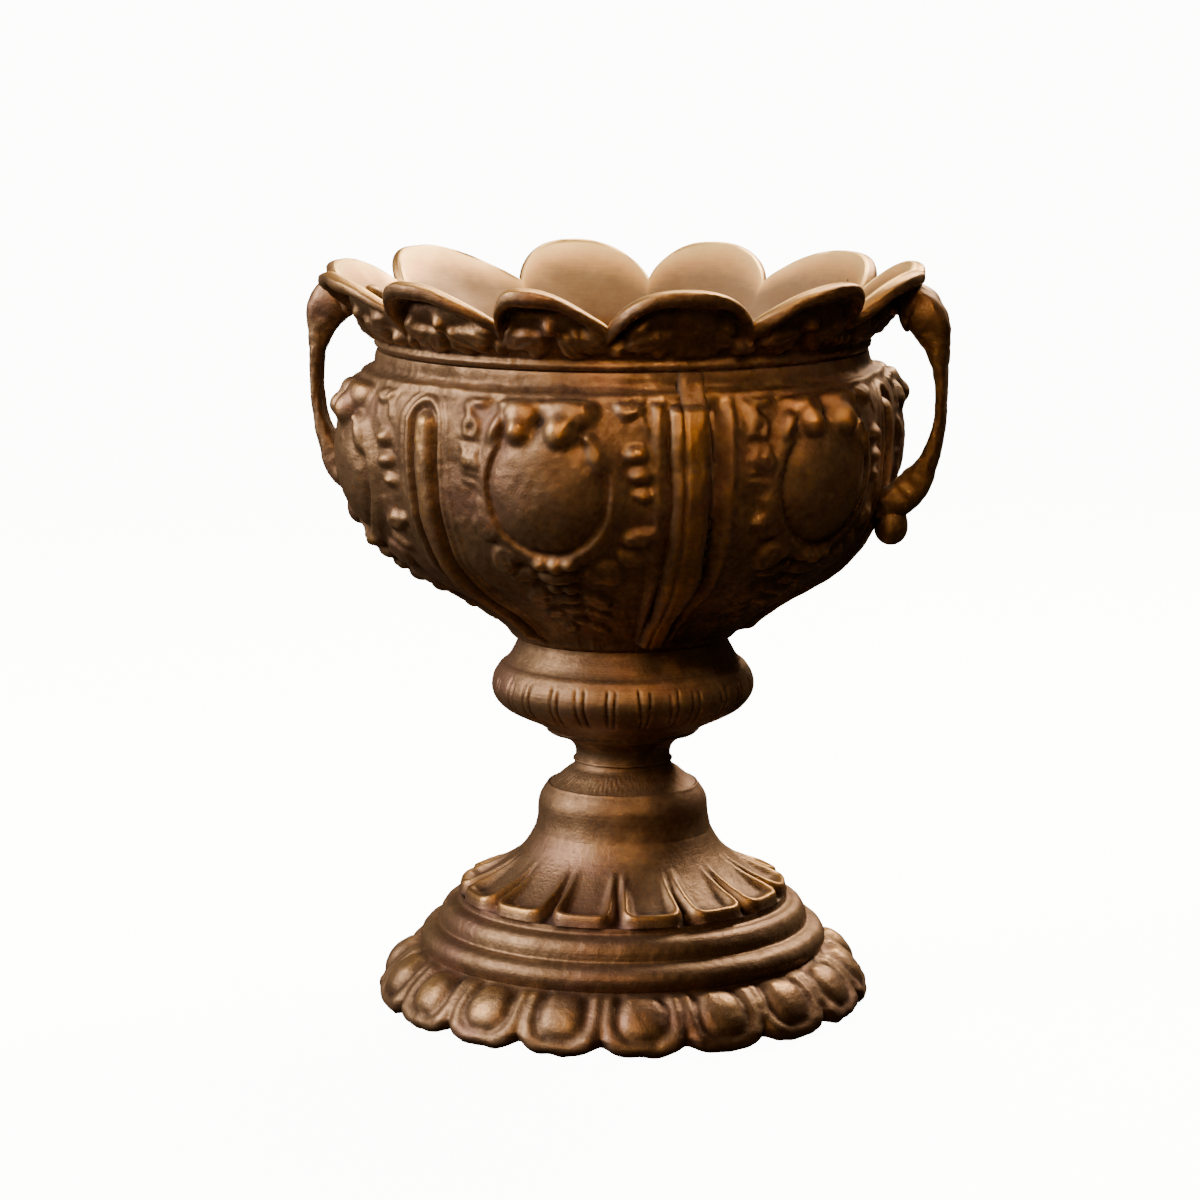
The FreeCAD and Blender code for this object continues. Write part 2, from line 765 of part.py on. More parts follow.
def crown_middle_radius():
    """Outer radius of the crown part of the way up: its flare, bowed in a little from a straight cone."""
    base = size("bowl_neck_radius")
    rise = size("crown_height") - size("crown_bead_height")
    share = (size("crown_middle_height") - size("crown_bead_height")) / rise
    return base + (size("crown_radius") - base) * share - size("crown_bow")


def make_crown():
    """The crown, the same form filled, which the handles seat on, and the space inside it."""
    wall = size("crown_wall")
    base = size("bowl_neck_radius")
    height = size("crown_height")
    bead_top = size("crown_bead_height")
    bead = Arc((base + size("crown_bead_proud"), bead_top / 2), (base, bead_top))
    spigot = base - size("bowl_wall") - size("fit_clearance")
    bore = spigot - size("crown_spigot_wall")
    inside_middle = (crown_middle_radius() - wall, size("crown_middle_height"))
    inside_foot = (base - wall, bead_top)
    inside_edge = (size("crown_radius") - wall, height)
    outside = Arc((crown_middle_radius(), size("crown_middle_height")), (size("crown_radius"), height))
    crown = turned_body("rim_crown", [
        (base, 0),
        bead,
        outside,
        inside_edge,
        Arc(inside_middle, inside_foot),
        (bore, 0),
        (bore, -size("crown_spigot_height")),
        (spigot, -size("crown_spigot_height")),
        (spigot, 0),
    ], crown_base)
    filled = turned_body("crown_filled", [(base, 0), bead, outside, (0, height), (0, 0)], crown_base)
    hollow = turned_body("crown_hollow", [
        inside_foot,
        Arc(inside_middle, inside_edge),
        (0, height),
        (0, bead_top),
    ], crown_base)
    petal_turn = 180 / size("petal_count").number
    petal_slope = Size(math.tan(math.radians(petal_turn)), "tan(180 / Sizes.petal_count)")
    half_pitch = size("crown_radius") * petal_slope
    shoulder = size("petal_shoulder_offset")
    shoulder_height = size("petal_shoulder_height")
    notch = (0, size("petal_notch_height"))
    above = height * 2
    sketch = body_sketch(crown, "petal_notch_outline", "YZ_Plane", [
        notch,
        Arc((shoulder, shoulder_height), (half_pitch, height)),
        (half_pitch, above),
        (-half_pitch, above),
        (-half_pitch, height),
        Arc((-shoulder, shoulder_height), notch),
    ], turn=petal_turn)
    cut = crown.newObject("PartDesign::Pocket", "petal_notch")
    cut.Profile = sketch
    cut.Reversed = True
    bind(cut, "Length", size("crown_radius") * 2)
    doc.recompute()
    repeat_round(crown, cut, size("petal_count"))
    hole_sketch = round_sketch(crown, "upper_rivet_hole_outline", "YZ_Plane", (0, size("upper_rivet_rise")),
                               size("rivet_radius") + size("rivet_clearance"))
    hole = crown.newObject("PartDesign::Pocket", "upper_rivet_hole")
    hole.Profile = hole_sketch
    hole.SideType = "Symmetric"
    bind(hole, "Length", (size("crown_radius") + size("bowl_neck_radius")) * 2)
    crown.Tip = hole
    doc.recompute()
    return crown, filled, hollow


def handle_stations():
    """Centre line of the right handle, from the crown to the bowl: reach, height and half thickness."""
    crown_metal = crown_middle_radius()
    belly_metal = size("belly_radius") - size("belly_lobe")
    flank_metal = size("flank_radius") - size("flank_lobe")
    belly = bowl_base + level_height("belly")
    flank = bowl_base + size("flank_height")
    heights = {
        "root": crown_base + size("handle_root_rise"),
        "bend": crown_base + size("handle_bend_rise"),
        "neck": crown_base + size("handle_neck_rise"),
        "grip": belly + size("handle_grip_lift"),
        "palm": belly + size("handle_palm_lift"),
        "heel": belly - size("handle_heel_drop"),
        "scroll": flank + size("handle_scroll_lift"),
        "toe": flank - size("handle_toe_drop"),
    }
    metal = {
        "root": crown_metal,
        "bend": crown_metal,
        "neck": crown_metal,
        "grip": (crown_metal + belly_metal) / 2,
        "palm": belly_metal,
        "heel": belly_metal,
        "scroll": flank_metal,
        "toe": flank_metal,
    }
    stations = []
    for name, height in heights.items():
        reach = metal[name] + size(f"handle_{name}_reach")
        stations.append((name, reach, height, size(f"handle_{name}_half")))
    return stations


def make_handle(bowl, crown):
    """The right handle: a loft of ovals along the scroll, a drop under it, seated on crown and bowl."""
    stations = handle_stations()
    ovals = []
    for index, (name, reach, height, half) in enumerate(stations):
        before = stations[max(index - 1, 0)]
        after = stations[min(index + 1, len(stations) - 1)]
        along = FreeCAD.Vector(after[1].number - before[1].number, 0, after[2].number - before[2].number)
        oval = doc.addObject("Part::Ellipse", f"handle_{name}_oval")
        bind(oval, "MajorRadius", half + size("handle_flatness"))
        bind(oval, "MinorRadius", half)
        place(oval, x=reach, z=height)
        across = FreeCAD.Vector(0, 1, 0)
        turn = FreeCAD.Rotation(across, along.cross(across), along, "ZXY")
        oval.Placement = FreeCAD.Placement(oval.Placement.Base, turn)
        ovals.append(oval)
    scroll = lofted("handle_scroll", ovals)
    drop = doc.addObject("Part::Ellipsoid", "handle_drop")
    bind(drop, "Radius1", size("handle_drop_half_height"))
    bind(drop, "Radius2", size("handle_drop_radius"))
    bind(drop, "Radius3", size("handle_drop_radius"))
    flank_metal = size("flank_radius") - size("flank_lobe")
    place(drop, x=flank_metal + size("handle_drop_reach"),
          z=bowl_base + size("flank_height") - size("handle_drop_below"))
    blank = fused("handle_blank", [scroll, drop])
    clearance = size("rivet_clearance")
    bores = [rivet_shank(f"{which}_handle_bore", which, clearance) for which in ("upper", "lower")]
    bored = combined("Part::Cut", "handle_bored", blank, fused("handle_bores", bores))
    handle = combined("Part::Cut", "handle_right", bored, fused("handle_seats", [bowl, crown]))
    doc.recompute()
    return handle


def rivet_place(which):
    """Where a rivet meets the inside of the wall that it goes through: reach and height."""
    if which == "upper":
        share = size("upper_rivet_rise") / size("crown_middle_height")
        base_inside = size("bowl_neck_radius") - size("crown_wall")
        middle_inside = crown_middle_radius() - size("crown_wall")
        return base_inside + (middle_inside - base_inside) * share, crown_base + size("upper_rivet_rise")
    inside = size("flank_radius") - size("flank_lobe") - size("bowl_wall")
    return inside, lower_rivet_height()


def rivet_shank(label, which, clearance):
    """The shank of a rivet along X, or the bore in the handle that it fills."""
    reach, height = rivet_place(which)
    wall = size("crown_wall") if which == "upper" else size("bowl_wall") + size("rib_proud")
    back = size("rivet_head_radius") / 2
    return cylinder(label, size("rivet_radius") + clearance, back + wall + size("rivet_grip") + clearance,
                    x=reach - back, z=height, axis=FreeCAD.Vector(0, 1, 0), angle=90)


def make_rivets(which, hollow):
    """A pair of rivets, each with a round head peened on the inside of the wall."""
    reach, height = rivet_place(which)
    ball = doc.addObject("Part::Sphere", f"{which}_rivet_ball")
    bind(ball, "Radius", size("rivet_head_radius"))
    place(ball, x=reach, z=height)
    head = combined("Part::Common", f"{which}_rivet_head", ball, hollow)
    right = fused(f"{which}_rivet_right", [rivet_shank(f"{which}_rivet_shank", which, Size(0, "0")), head])
    pair = doc.addObject("Part::Compound", f"{which}_rivets")
    pair.Links = [right, mirrored(f"{which}_rivet_left", right)]
    doc.recompute()
    return pair


def mirrored(label, source):
    copy = doc.addObject("Part::Mirroring", label)
    copy.Source = source
    copy.Base = FreeCAD.Vector(0, 0, 0)
    copy.Normal = FreeCAD.Vector(1, 0, 0)
    return copy


def ring_piece(label, outer, inner, height, base):
    return combined("Part::Cut", label, cylinder(f"{label}_disc", outer, height, z=base),
                    cylinder(f"{label}_hole", inner, height, z=base))


def nut_piece(label, base):
    blank = doc.addObject("Part::Prism", f"{label}_blank")
    blank.Polygon = 6
    bind(blank, "Circumradius", size("nut_flats") / Size(math.sqrt(3), "sqrt(3)"))
    bind(blank, "Height", size("nut_height"))
    place(blank, z=base)
    bore_radius = size("rod_radius") + size("thread_clearance")
    bore = cylinder(f"{label}_bore", bore_radius, size("nut_height"), z=base)
    return combined("Part::Cut", label, blank, bore)


def make_hardware():
    """The tie rod from the foot's deck to the bowl's floor, with a washer and a nut at each end."""
    thickness = size("washer_thickness")
    foot_washer_base = size("foot_height") - size("foot_deck") - thickness
    foot_nut_base = foot_washer_base - size("nut_height")
    bowl_washer_base = bowl_base + size("bowl_floor")
    bowl_nut_base = bowl_washer_base + thickness
    washer_hole = size("rod_radius") + size("rod_clearance")
    bottom = foot_nut_base - size("rod_tail")
    top = bowl_nut_base + size("nut_height") + size("rod_tail") - bottom
    radius = size("rod_radius")
    point = radius - size("rod_chamfer")
    rod = turned_body("tie_rod", [
        (0, 0),
        (point, 0),
        (radius, size("rod_chamfer")),
        (radius, top - size("rod_chamfer")),
        (point, top),
        (0, top),
    ], bottom)
    pieces = [
        rod,
        ring_piece("foot_washer", size("washer_radius"), washer_hole, thickness, foot_washer_base),
        nut_piece("foot_nut", foot_nut_base),
        ring_piece("bowl_washer", size("washer_radius"), washer_hole, thickness, bowl_washer_base),
        nut_piece("bowl_nut", bowl_nut_base),
    ]
    doc.recompute()
    return pieces


bowl_pieces, filled_bowl, space_in_bowl = make_bowl()
crown, filled_crown, space_in_crown = make_crown()
right_handle = make_handle(filled_bowl, filled_crown)
pieces = [make_foot(), make_stem(), make_knop(), crown, right_handle, mirrored("handle_left", right_handle)]
pieces += bowl_pieces
pieces += [make_rivets("upper", space_in_crown), make_rivets("lower", space_in_bowl)]
pieces += make_hardware()
doc.recompute()

for item in doc.Objects:
    if "Invalid" in item.State or "Error" in item.State:
        raise RuntimeError(f"{item.Label} did not build")
for piece in pieces:
    if piece.Shape.isNull() or not piece.Shape.isValid():
        raise RuntimeError(f"{piece.Label} has no valid shape")

os.makedirs("parts", exist_ok=True)
for piece in pieces:
    piece.Shape.exportStep(f"parts/{piece.Label}.step")
    box = piece.Shape.BoundBox
    print(f"{piece.Label}: {len(piece.Shape.Solids)} solids, {piece.Shape.Volume / 1000:.1f} cm3, "
          f"z {box.ZMin:.1f} to {box.ZMax:.1f}, x {box.XMin:.1f} to {box.XMax:.1f}")
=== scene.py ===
"""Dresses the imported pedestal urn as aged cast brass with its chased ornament, on a pale floor."""
import functools
import math
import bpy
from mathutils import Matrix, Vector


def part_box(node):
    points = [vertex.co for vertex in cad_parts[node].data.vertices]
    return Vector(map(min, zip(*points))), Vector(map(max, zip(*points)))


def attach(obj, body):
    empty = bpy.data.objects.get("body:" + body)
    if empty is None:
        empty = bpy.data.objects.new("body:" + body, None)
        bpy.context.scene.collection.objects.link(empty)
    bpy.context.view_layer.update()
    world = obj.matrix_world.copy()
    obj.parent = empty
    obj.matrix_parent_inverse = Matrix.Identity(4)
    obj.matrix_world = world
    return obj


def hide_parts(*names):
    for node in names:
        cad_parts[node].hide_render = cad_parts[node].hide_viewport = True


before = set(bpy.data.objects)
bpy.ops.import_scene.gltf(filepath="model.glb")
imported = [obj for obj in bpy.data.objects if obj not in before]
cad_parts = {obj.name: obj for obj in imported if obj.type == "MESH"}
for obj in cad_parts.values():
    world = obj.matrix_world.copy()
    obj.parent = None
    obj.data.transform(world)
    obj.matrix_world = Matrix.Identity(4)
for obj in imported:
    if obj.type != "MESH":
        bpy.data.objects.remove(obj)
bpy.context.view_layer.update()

import types

import bpy
import numpy as np

bl_info = {
    "name": "Cast brass pedestal urn",
    "version": (1, 0, 0),
    "blender": (4, 5, 0),
    "location": "View3D > Sidebar > Urn",
    "description": "Builds a lobed brass urn on a pedestal foot, piece by piece",
    "category": "Mesh",
}

MM = 0.001
SEED = 7
LOBES = 6
PETALS = 12
EGGS = 18
TONGUES = 14
LINE_PAIRS = 27

# Where the seams of the bowl's halves are, in degrees round the urn
FRONT_SEAM = 300.0
REAR_SEAM = FRONT_SEAM - 180

# Radius of the hole for the tie rod in mm, and the bend in degrees up to which a surface is shaded smooth
ROD_HOLE = 4.5
SMOOTH_BEND = 50.0

# Joints between the pieces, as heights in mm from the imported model
STEM_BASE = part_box("stem")[0][2] / MM
KNOP_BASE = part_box("knop")[0][2] / MM
BOWL_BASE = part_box("knop")[1][2] / MM
CROWN_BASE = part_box("bowl_half_right")[1][2] / MM


def linear(hex_text):
    """Linear colour of an sRGB hex value."""
    channels = [int(hex_text[at:at + 2], 16) / 255 for at in (1, 3, 5)]
    return tuple(
        value / 12.92 if value <= 0.04045 else ((value + 0.055) / 1.055) ** 2.4 for value in channels)


def length(name, description, millimetres):
    """A length property, given in mm."""
    return bpy.props.FloatProperty(
        name=name, description=description, default=millimetres * MM, unit="LENGTH", precision=4)


def colour(name, description, hex_text):
    """A colour property, given as sRGB hex."""
    return bpy.props.FloatVectorProperty(
        name=name, description=description, default=linear(hex_text), subtype="COLOR", size=3, min=0, max=1)


class UrnFootSizes(bpy.types.PropertyGroup):
    edge_radius: length("Edge radius", "Widest radius of the lobed edge", 99.4)
    band_top_radius: length("Band top radius", "Radius at the top of the egg band", 82.0)
    band_top_height: length("Band top height", "Height of the top of the egg band", 24.0)
    bell_radius: length("Bell radius", "Radius at the lower end of the tongues", 67.0)
    bell_height: length("Bell height", "Height of the lower end of the tongues", 44.0)
    top_radius: length("Top radius", "Radius where the stem stands", 35.8)
    wall: length("Wall", "Thickness of the casting", 4.0)
    egg_height: length("Egg height", "How far an egg stands out of its moat", 4.2)
    border_height: length("Border height", "How far the rim round an egg stands out", 2.6)
    tongue_height: length("Tongue height", "How far the lip of a tongue stands out", 3.0)


class UrnStemSizes(bpy.types.PropertyGroup):
    body_radius: length("Body radius", "Radius of the stem half way up its body", 34.3)
    shoulder_radius: length("Shoulder radius", "Radius at the sharp shoulder line", 31.0)
    neck_radius: length("Neck radius", "Radius of the narrow neck", 19.3)
    wall: length("Wall", "Thickness of the turned cup", 4.2)


class UrnKnopSizes(bpy.types.PropertyGroup):
    throat_radius: length("Throat radius", "Radius of the narrow throat", 20.4)
    radius: length("Radius", "Widest radius", 53.0)
    top_radius: length("Top radius", "Radius of the seat of the bowl", 42.5)
    cut_depth: length("Cut depth", "Depth of the engraved lines", 0.7)


class UrnBowlSizes(bpy.types.PropertyGroup):
    seat_radius: length("Seat radius", "Radius on top of the knop", 42.5)
    belly_radius: length("Belly radius", "Widest radius, on a lobe", 110.5)
    neck_radius: length("Neck radius", "Radius under the crown", 97.5)
    wall: length("Wall", "Thickness of the casting", 3.2)
    lobe_depth: length("Lobe depth", "How far the valleys lie behind the lobes", 5.0)
    boss_height: length("Boss height", "How far the oval bosses stand out", 5.0)
    rib_height: length("Rib height", "How far the tongue ribs stand out", 4.2)
    strap_width: length("Strap width", "Width of the straps over the seams", 11.5)
    strap_height: length("Strap height", "How far the straps stand out", 2.8)


class UrnCrownSizes(bpy.types.PropertyGroup):
    radius: length("Radius", "Radius at the petal tips", 122.6)
    rise: length("Rise", "Height of a petal tip above the neck", 34.0)
    notch_rise: length("Notch rise", "Height of the notches between petals above the neck", 18.0)
    wall: length("Wall", "Thickness of the casting", 3.2)
    lip_roll: length("Lip roll", "How far the rolled lip swells out", 4.4)
    garland_height: length("Garland height", "How far the leaves under the lip stand out", 3.6)


class UrnHandleSizes(bpy.types.PropertyGroup):
    grip_reach: length("Grip reach", "Distance of the grip from the axis of the urn", 127.9)
    drop_radius: length("Drop radius", "Radius of the drop under a handle", 6.6)
    drop_length: length("Drop length", "Half the length of the drop", 9.6)


class UrnFinish(bpy.types.PropertyGroup):
    # The recess colour darkens the hollows as oxide and also as painted shade
    recess_oxide_and_shade: colour("Recess", "Black-brown oxide left in the hollows", "#2a1c12")
    patina: colour("Patina", "Brown oxide over most of the surface", "#6e5842")
    bronze: colour("Bronze", "Thin patina on the swelling forms", "#8d7458")
    rubbed: colour("Rubbed brass", "Bare brass where hands have rubbed it", "#b08a55")
    blush: colour("Blush", "Pink copper bloom in the patina", "#84635a")
    # Bright and pale are clean brass with a painted highlight towards the tips inside the crown
    bright: colour("Bright inside", "Cleaner brass inside the crown", "#d2a672")
    pale: colour("Pale brass", "Polished brass at the tips inside the crown", "#f0d090")
    steel: colour("Steel", "Oiled steel of the tie rod and its nuts", "#6f6c68")
    floor: colour("Floor", "Pale studio floor", "#f6f5f2")


class UrnStageSettings(bpy.types.PropertyGroup):
    distance: length("Camera distance", "Camera to the axis of the urn, level", 1558.0)
    camera_height: length("Camera height", "Camera above the floor", 426.0)
    aim_height: length("Aim height", "Height that the camera looks at", 161.0)
    azimuth: bpy.props.FloatProperty(
        name="Azimuth", description="Camera round the urn from the front", default=math.radians(15),
        unit="ROTATION")
    lens: bpy.props.FloatProperty(
        name="Lens", description="Focal length of the camera", default=117.8, unit="CAMERA")


GROUPS = {
    "urn_foot": UrnFootSizes,
    "urn_stem": UrnStemSizes,
    "urn_knop": UrnKnopSizes,
    "urn_bowl": UrnBowlSizes,
    "urn_crown": UrnCrownSizes,
    "urn_handle": UrnHandleSizes,
    "urn_finish": UrnFinish,
    "urn_stage": UrnStageSettings,
}


def in_mm(group):
    """The lengths of a property group in mm."""
    names = type(group).__annotations__
    return types.SimpleNamespace(**{name: getattr(group, name) / MM for name in names})


# Sections and blanks


def spline(knots, values, at):
    """Natural cubic spline through the values at the knots."""
    gaps = np.diff(knots)
    count = len(knots)
    system = np.eye(count)
    right = np.zeros_like(values)
    for place in range(1, count - 1):
        before, after = gaps[place - 1], gaps[place]
        system[place, place - 1:place + 2] = before, 2 * (before + after), after
        rise = (values[place + 1] - values[place]) / after
        right[place] = 6 * (rise - (values[place] - values[place - 1]) / before)
    bend = np.linalg.solve(system, right)
    place = np.clip(np.searchsorted(knots, at) - 1, 0, count - 2)
    gap = gaps[place][:, None]
    past = (np.asarray(at) - knots[place])[:, None]
    left = gap - past
    curve = (bend[place] * left ** 3 + bend[place + 1] * past ** 3) / (6 * gap)
    line_left = (values[place] / gap - bend[place] * gap / 6) * left
    line_right = (values[place + 1] / gap - bend[place + 1] * gap / 6) * past
    return curve + line_left + line_right


def run_lengths(points):
    """Distance along a line of points, up to each of them."""
    steps = np.linalg.norm(np.diff(points[:, :2], axis=0), axis=1)
    return np.concatenate([[0.0], np.cumsum(steps)])


def smooth_run(points, spacing):
    """Points about a spacing apart on a smooth curve through the given ones, without the last one."""
    points = np.array(points, float)
    knots = run_lengths(points)
    count = max(1, round(knots[-1] / spacing))
    return spline(knots, points, np.linspace(0, knots[-1], count + 1)[:-1])


def joined_runs(start, *runs):
    """Smooth runs of (spacing, points) from a start, each from where the one before it ends."""
    laid = []
    for spacing, points in runs:
        laid.append(smooth_run([start, *points], spacing))
        start = points[-1]
    return np.vstack(laid)


def near(anchor, *offsets):
    """Points at offsets in mm from an anchor of (radius, height)."""
    return [(anchor[0] + across, anchor[1] + up) for across, up in offsets]


def outward(section):
    """Unit normals of a section of (radius, height) that runs up its outer side."""
    along = np.roll(section, -1, axis=0) - np.roll(section, 1, axis=0)
    normal = np.column_stack([along[:, 1], -along[:, 0]])
    return normal / np.maximum(np.linalg.norm(normal, axis=1), 1e-9)[:, None]


def around(columns):
    """Angles of the columns of a piece, in degrees round the urn."""
    return np.arange(columns)[None, :] * 360 / columns


def turn_from(angle, middle, lap=360):
    """Angle from a middle that comes back every lap, in degrees to either side."""
    return (angle - middle + lap / 2) % lap - lap / 2


def spread(section, columns):
    """Radius and height of a section at each of its columns."""
    return [np.repeat(section[:, part:part + 1], columns, axis=1) for part in (0, 1)]


def lifted(section, normal, lift):
    """Radius and height of a section whose first rows are lifted along their normals."""
    radius, height = spread(section, lift.shape[1])
    rows = len(lift)
    radius[:rows] += normal[:rows, 0:1] * lift
    height[:rows] += normal[:rows, 1:2] * lift
    return radius, height


def pick(piece):
    """Makes a piece the only chosen one."""
    bpy.ops.object.select_all(action="DESELECT")
    piece.select_set(True)
    bpy.context.view_layer.objects.active = piece


def edit_all():
    """Opens the active piece for editing, with all of it chosen."""
    bpy.ops.object.mode_set(mode="EDIT")
    bpy.ops.mesh.select_all(action="SELECT")


def turn_outward():
    """Turns all faces of the active piece outward and ends its editing."""
    edit_all()
    bpy.ops.mesh.normals_make_consistent(inside=False)
    bpy.ops.object.mode_set(mode="OBJECT")


def points_of(mesh, kind="co"):
    """Places in metres, or normals, of the points of a mesh."""
    values = np.zeros(len(mesh.vertices) * 3)
    mesh.vertices.foreach_get(kind, values)
    return values.reshape(-1, 3)


def place_points(mesh, spots):
    """Puts the points of a mesh at places in mm."""
    mesh.vertices.foreach_set("co", (spots * MM).ravel())
    mesh.update()


def give_relief(mesh, relief):
    """Keeps the relief of each point, which the finish follows: hollows get oxide and painted shade."""
    worn_and_shaded = mesh.attributes.new("relief", "FLOAT", "POINT")
    worn_and_shaded.data.foreach_set("value", relief.astype(np.float32))


def spun_piece(name, section, form, start=0.0, sweep=360.0):
    """Spins a closed section of (radius, height) in mm about the axis of the urn and gives the piece a form.

    The form is radius, angle in degrees and height over the rows of the section and the columns round the
    urn, and the relief of the first rows. Returns the piece and the row of each of its points.
    """
    radius, angle, height, outer_relief = form
    relief = np.zeros_like(radius)
    relief[:len(outer_relief)] = outer_relief
    has_ends = sweep < 360
    columns = radius.shape[1] - has_ends
    bpy.ops.object.select_all(action="DESELECT")
    bpy.ops.mesh.primitive_circle_add(vertices=len(section), fill_type="NOTHING")
    piece = bpy.context.active_object
    mesh = piece.data
    piece.name = mesh.name = name
    numbers = mesh.attributes.new("row", "INT", "POINT")
    numbers.data.foreach_set("value", np.arange(len(section), dtype=np.int32))
    turn = math.radians(start)
    place_points(mesh, np.column_stack([
        section[:, 0] * math.cos(turn), section[:, 0] * math.sin(turn), section[:, 1]]))
    lathe = piece.modifiers.new("lathe", "SCREW")
    lathe.axis = "Z"
    lathe.angle = math.radians(sweep)
    lathe.steps = lathe.render_steps = columns
    lathe.use_merge_vertices = not has_ends
    lathe.merge_threshold = 0.001 * MM
    bpy.ops.object.modifier_apply(modifier=lathe.name)
    if has_ends:
        edit_all()
        bpy.ops.mesh.fill_holes(sides=0)
    turn_outward()
    row = np.zeros(len(mesh.vertices), np.int32)
    mesh.attributes["row"].data.foreach_get("value", row)
    spots = points_of(mesh)
    step = sweep / columns
    turned = np.degrees(np.arctan2(spots[:, 1], spots[:, 0])) - start
    column = np.rint(turned / step).astype(int) % round(360 / step)
    turn = np.radians(np.broadcast_to(angle, radius.shape))[row, column]
    reach = radius[row, column]
    place_points(mesh, np.column_stack([reach * np.cos(turn), reach * np.sin(turn), height[row, column]]))
    mesh.attributes.remove(mesh.attributes["row"])
    give_relief(mesh, relief[row, column])
    return piece, row


def inner_faces(piece, is_inside):
    """Gives the second material to the faces whose points are all on the inside."""
    mesh = piece.data
    inside = np.zeros(len(mesh.polygons), np.int32)
    for face in mesh.polygons:
        inside[face.index] = all(is_inside[point] for point in face.vertices)
    mesh.polygons.foreach_set("material_index", inside)


def finish_piece(piece, finishes, node):
    """Shades a piece, gives it its finishes and puts it on the body of the node that it stands for."""
    for name in finishes:
        piece.data.materials.append(finish_named(name))
    pick(piece)
    bpy.ops.object.shade_smooth_by_angle(angle=math.radians(SMOOTH_BEND))
    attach(piece, "root")
    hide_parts(node)


# Fields of relief, in mm of height over places in mm


def ramp(value, start, width):
    """Share from 0 at a start to 1 a width past it; a negative width counts downwards."""
    return np.clip((value - start) / width, 0, 1)


def hump(value, middle, width):
    """A bell curve, 1 at its middle."""
    return np.exp(-((value - middle) / width) ** 2)


def flat_hump(value, half, power):
    """A hump with a flat top and steep sides, 1 in the middle and 0 from a half width on."""
    return np.clip(1 - (np.abs(value) / half) ** power, 0, 1)


def blurred(field, passes):
    """A field smoothed along its rows and round its columns."""
    for _ in range(passes):
        padded = np.pad(field, ((1, 1), (0, 0)), mode="edge")
        field = (padded[:-2] + 2 * field + padded[2:]) / 4
        field = (np.roll(field, 1, axis=1) + 2 * field + np.roll(field, -1, axis=1)) / 4
    return field


def wear_and_shade(field, passes, full):
    """How far a field stands out of or lies under what is round it, from -1 to 1."""
    return np.clip((field - blurred(field, passes)) / full, -1, 1)


def turned_places(across, up, centre, tilt):
    """Places about a centre, along and across a direction tilted from level."""
    turn = math.radians(tilt)
    side, rise = across - centre[0], up - centre[1]
    return side * math.cos(turn) + rise * math.sin(turn), rise * math.cos(turn) - side * math.sin(turn)


def mound(across, up, spot):
    """A rounded mound: centre across and up, half sizes, height, tilt."""
    *centre, half_along, half_wide, tall, tilt = spot
    along, wide = turned_places(across, up, centre, tilt)
    inside = 1 - (along / half_along) ** 2 - (wide / half_wide) ** 2
    return tall * np.clip(inside, 0, 1) ** 0.6


def ridge(distance, half, tall):
    """A rounded ridge along the line from which the distance is measured."""
    return tall * np.clip(1 - (distance / half) ** 2, 0, 1) ** 0.7


def leaf(across, up, spot):
    """A pointed leaf with a cut vein: root across and up, length, half width, height, tilt."""
    *root, long, half_wide, tall, tilt = spot
    along, wide = turned_places(across, up, root, tilt)
    share = np.clip(along / long, 0, 1)
    edge = half_wide * np.sin(np.pi * share ** 0.75) ** 0.8 * (1 + 0.16 * np.sin(share * 17))
    body = np.clip(1 - (wide / np.maximum(edge, 0.05)) ** 2, 0, 1) ** 0.5
    vein = 1 - 0.45 * hump(wide, 0, 0.16 * half_wide)
    return tall * body * vein * (along > 0) * (along < long)


def scroll(across, up, spot):
    """A rolled scroll with an eye: centre across and up, radius, half width, height, hand (1 or -1)."""
    middle_across, middle_up, radius, half, tall, hand = spot
    laps = 2.4
    side, rise = (across - middle_across) * hand, up - middle_up
    reach = np.hypot(side, rise)
    turn = np.arctan2(rise, side) % (2 * np.pi)
    distance = np.full_like(reach, radius)
    for lap in range(2):
        line = radius * (1 - (turn + 2 * np.pi * lap) / (2 * np.pi * laps))
        distance = np.minimum(distance, np.abs(reach - line))
    eye = mound(side, rise, (0, 0, radius * 0.3, radius * 0.3, tall * 1.15, 0))
    return np.maximum(ridge(distance, half, tall) * (reach < radius + half), eye)


def stroke(across, up, bar):
    """A rounded bar: its two ends, half width and height."""
    (first_across, first_up), (last_across, last_up), half, tall = bar
    run, climb = last_across - first_across, last_up - first_up
    share = ((across - first_across) * run + (up - first_up) * climb) / (run ** 2 + climb ** 2)
    share = np.clip(share, 0, 1)
    distance = np.hypot(across - first_across - share * run, up - first_up - share * climb)
    return ridge(distance, half, tall)


def past_oval(across, up, centre, halves):
    """About how far places lie outside an oval; less than 0 inside it."""
    side, rise = across - centre[0], up - centre[1]
    shape = np.hypot(side / halves[0], rise / halves[1])
    return (shape - 1) * np.hypot(side, rise) / np.maximum(shape, 0.05)


def uneven(angle, up, size, radius, draws, waves=28):
    """An even unevenness of about a size, from -1 to 1, closed round the urn; angle is in degrees."""
    turn = np.radians(angle)
    field = np.zeros(np.broadcast(turn, up).shape)
    for _ in range(waves):
        lean = draws.uniform(0, 2 * np.pi)
        pace = 2 * np.pi / (size * draws.uniform(0.7, 1.4))
        laps = round(pace * math.cos(lean) * radius)
        field += np.cos(laps * turn + pace * math.sin(lean) * up + draws.uniform(0, 2 * np.pi))
    return field / math.sqrt(waves) * 0.7


def rough_skin(angle, up, radius, draws, *sizes):
    """Unevenness in layers of (depth, size), all in mm."""
    return sum(depth * uneven(angle, up, size, radius, draws) for depth, size in sizes)


# Finishes


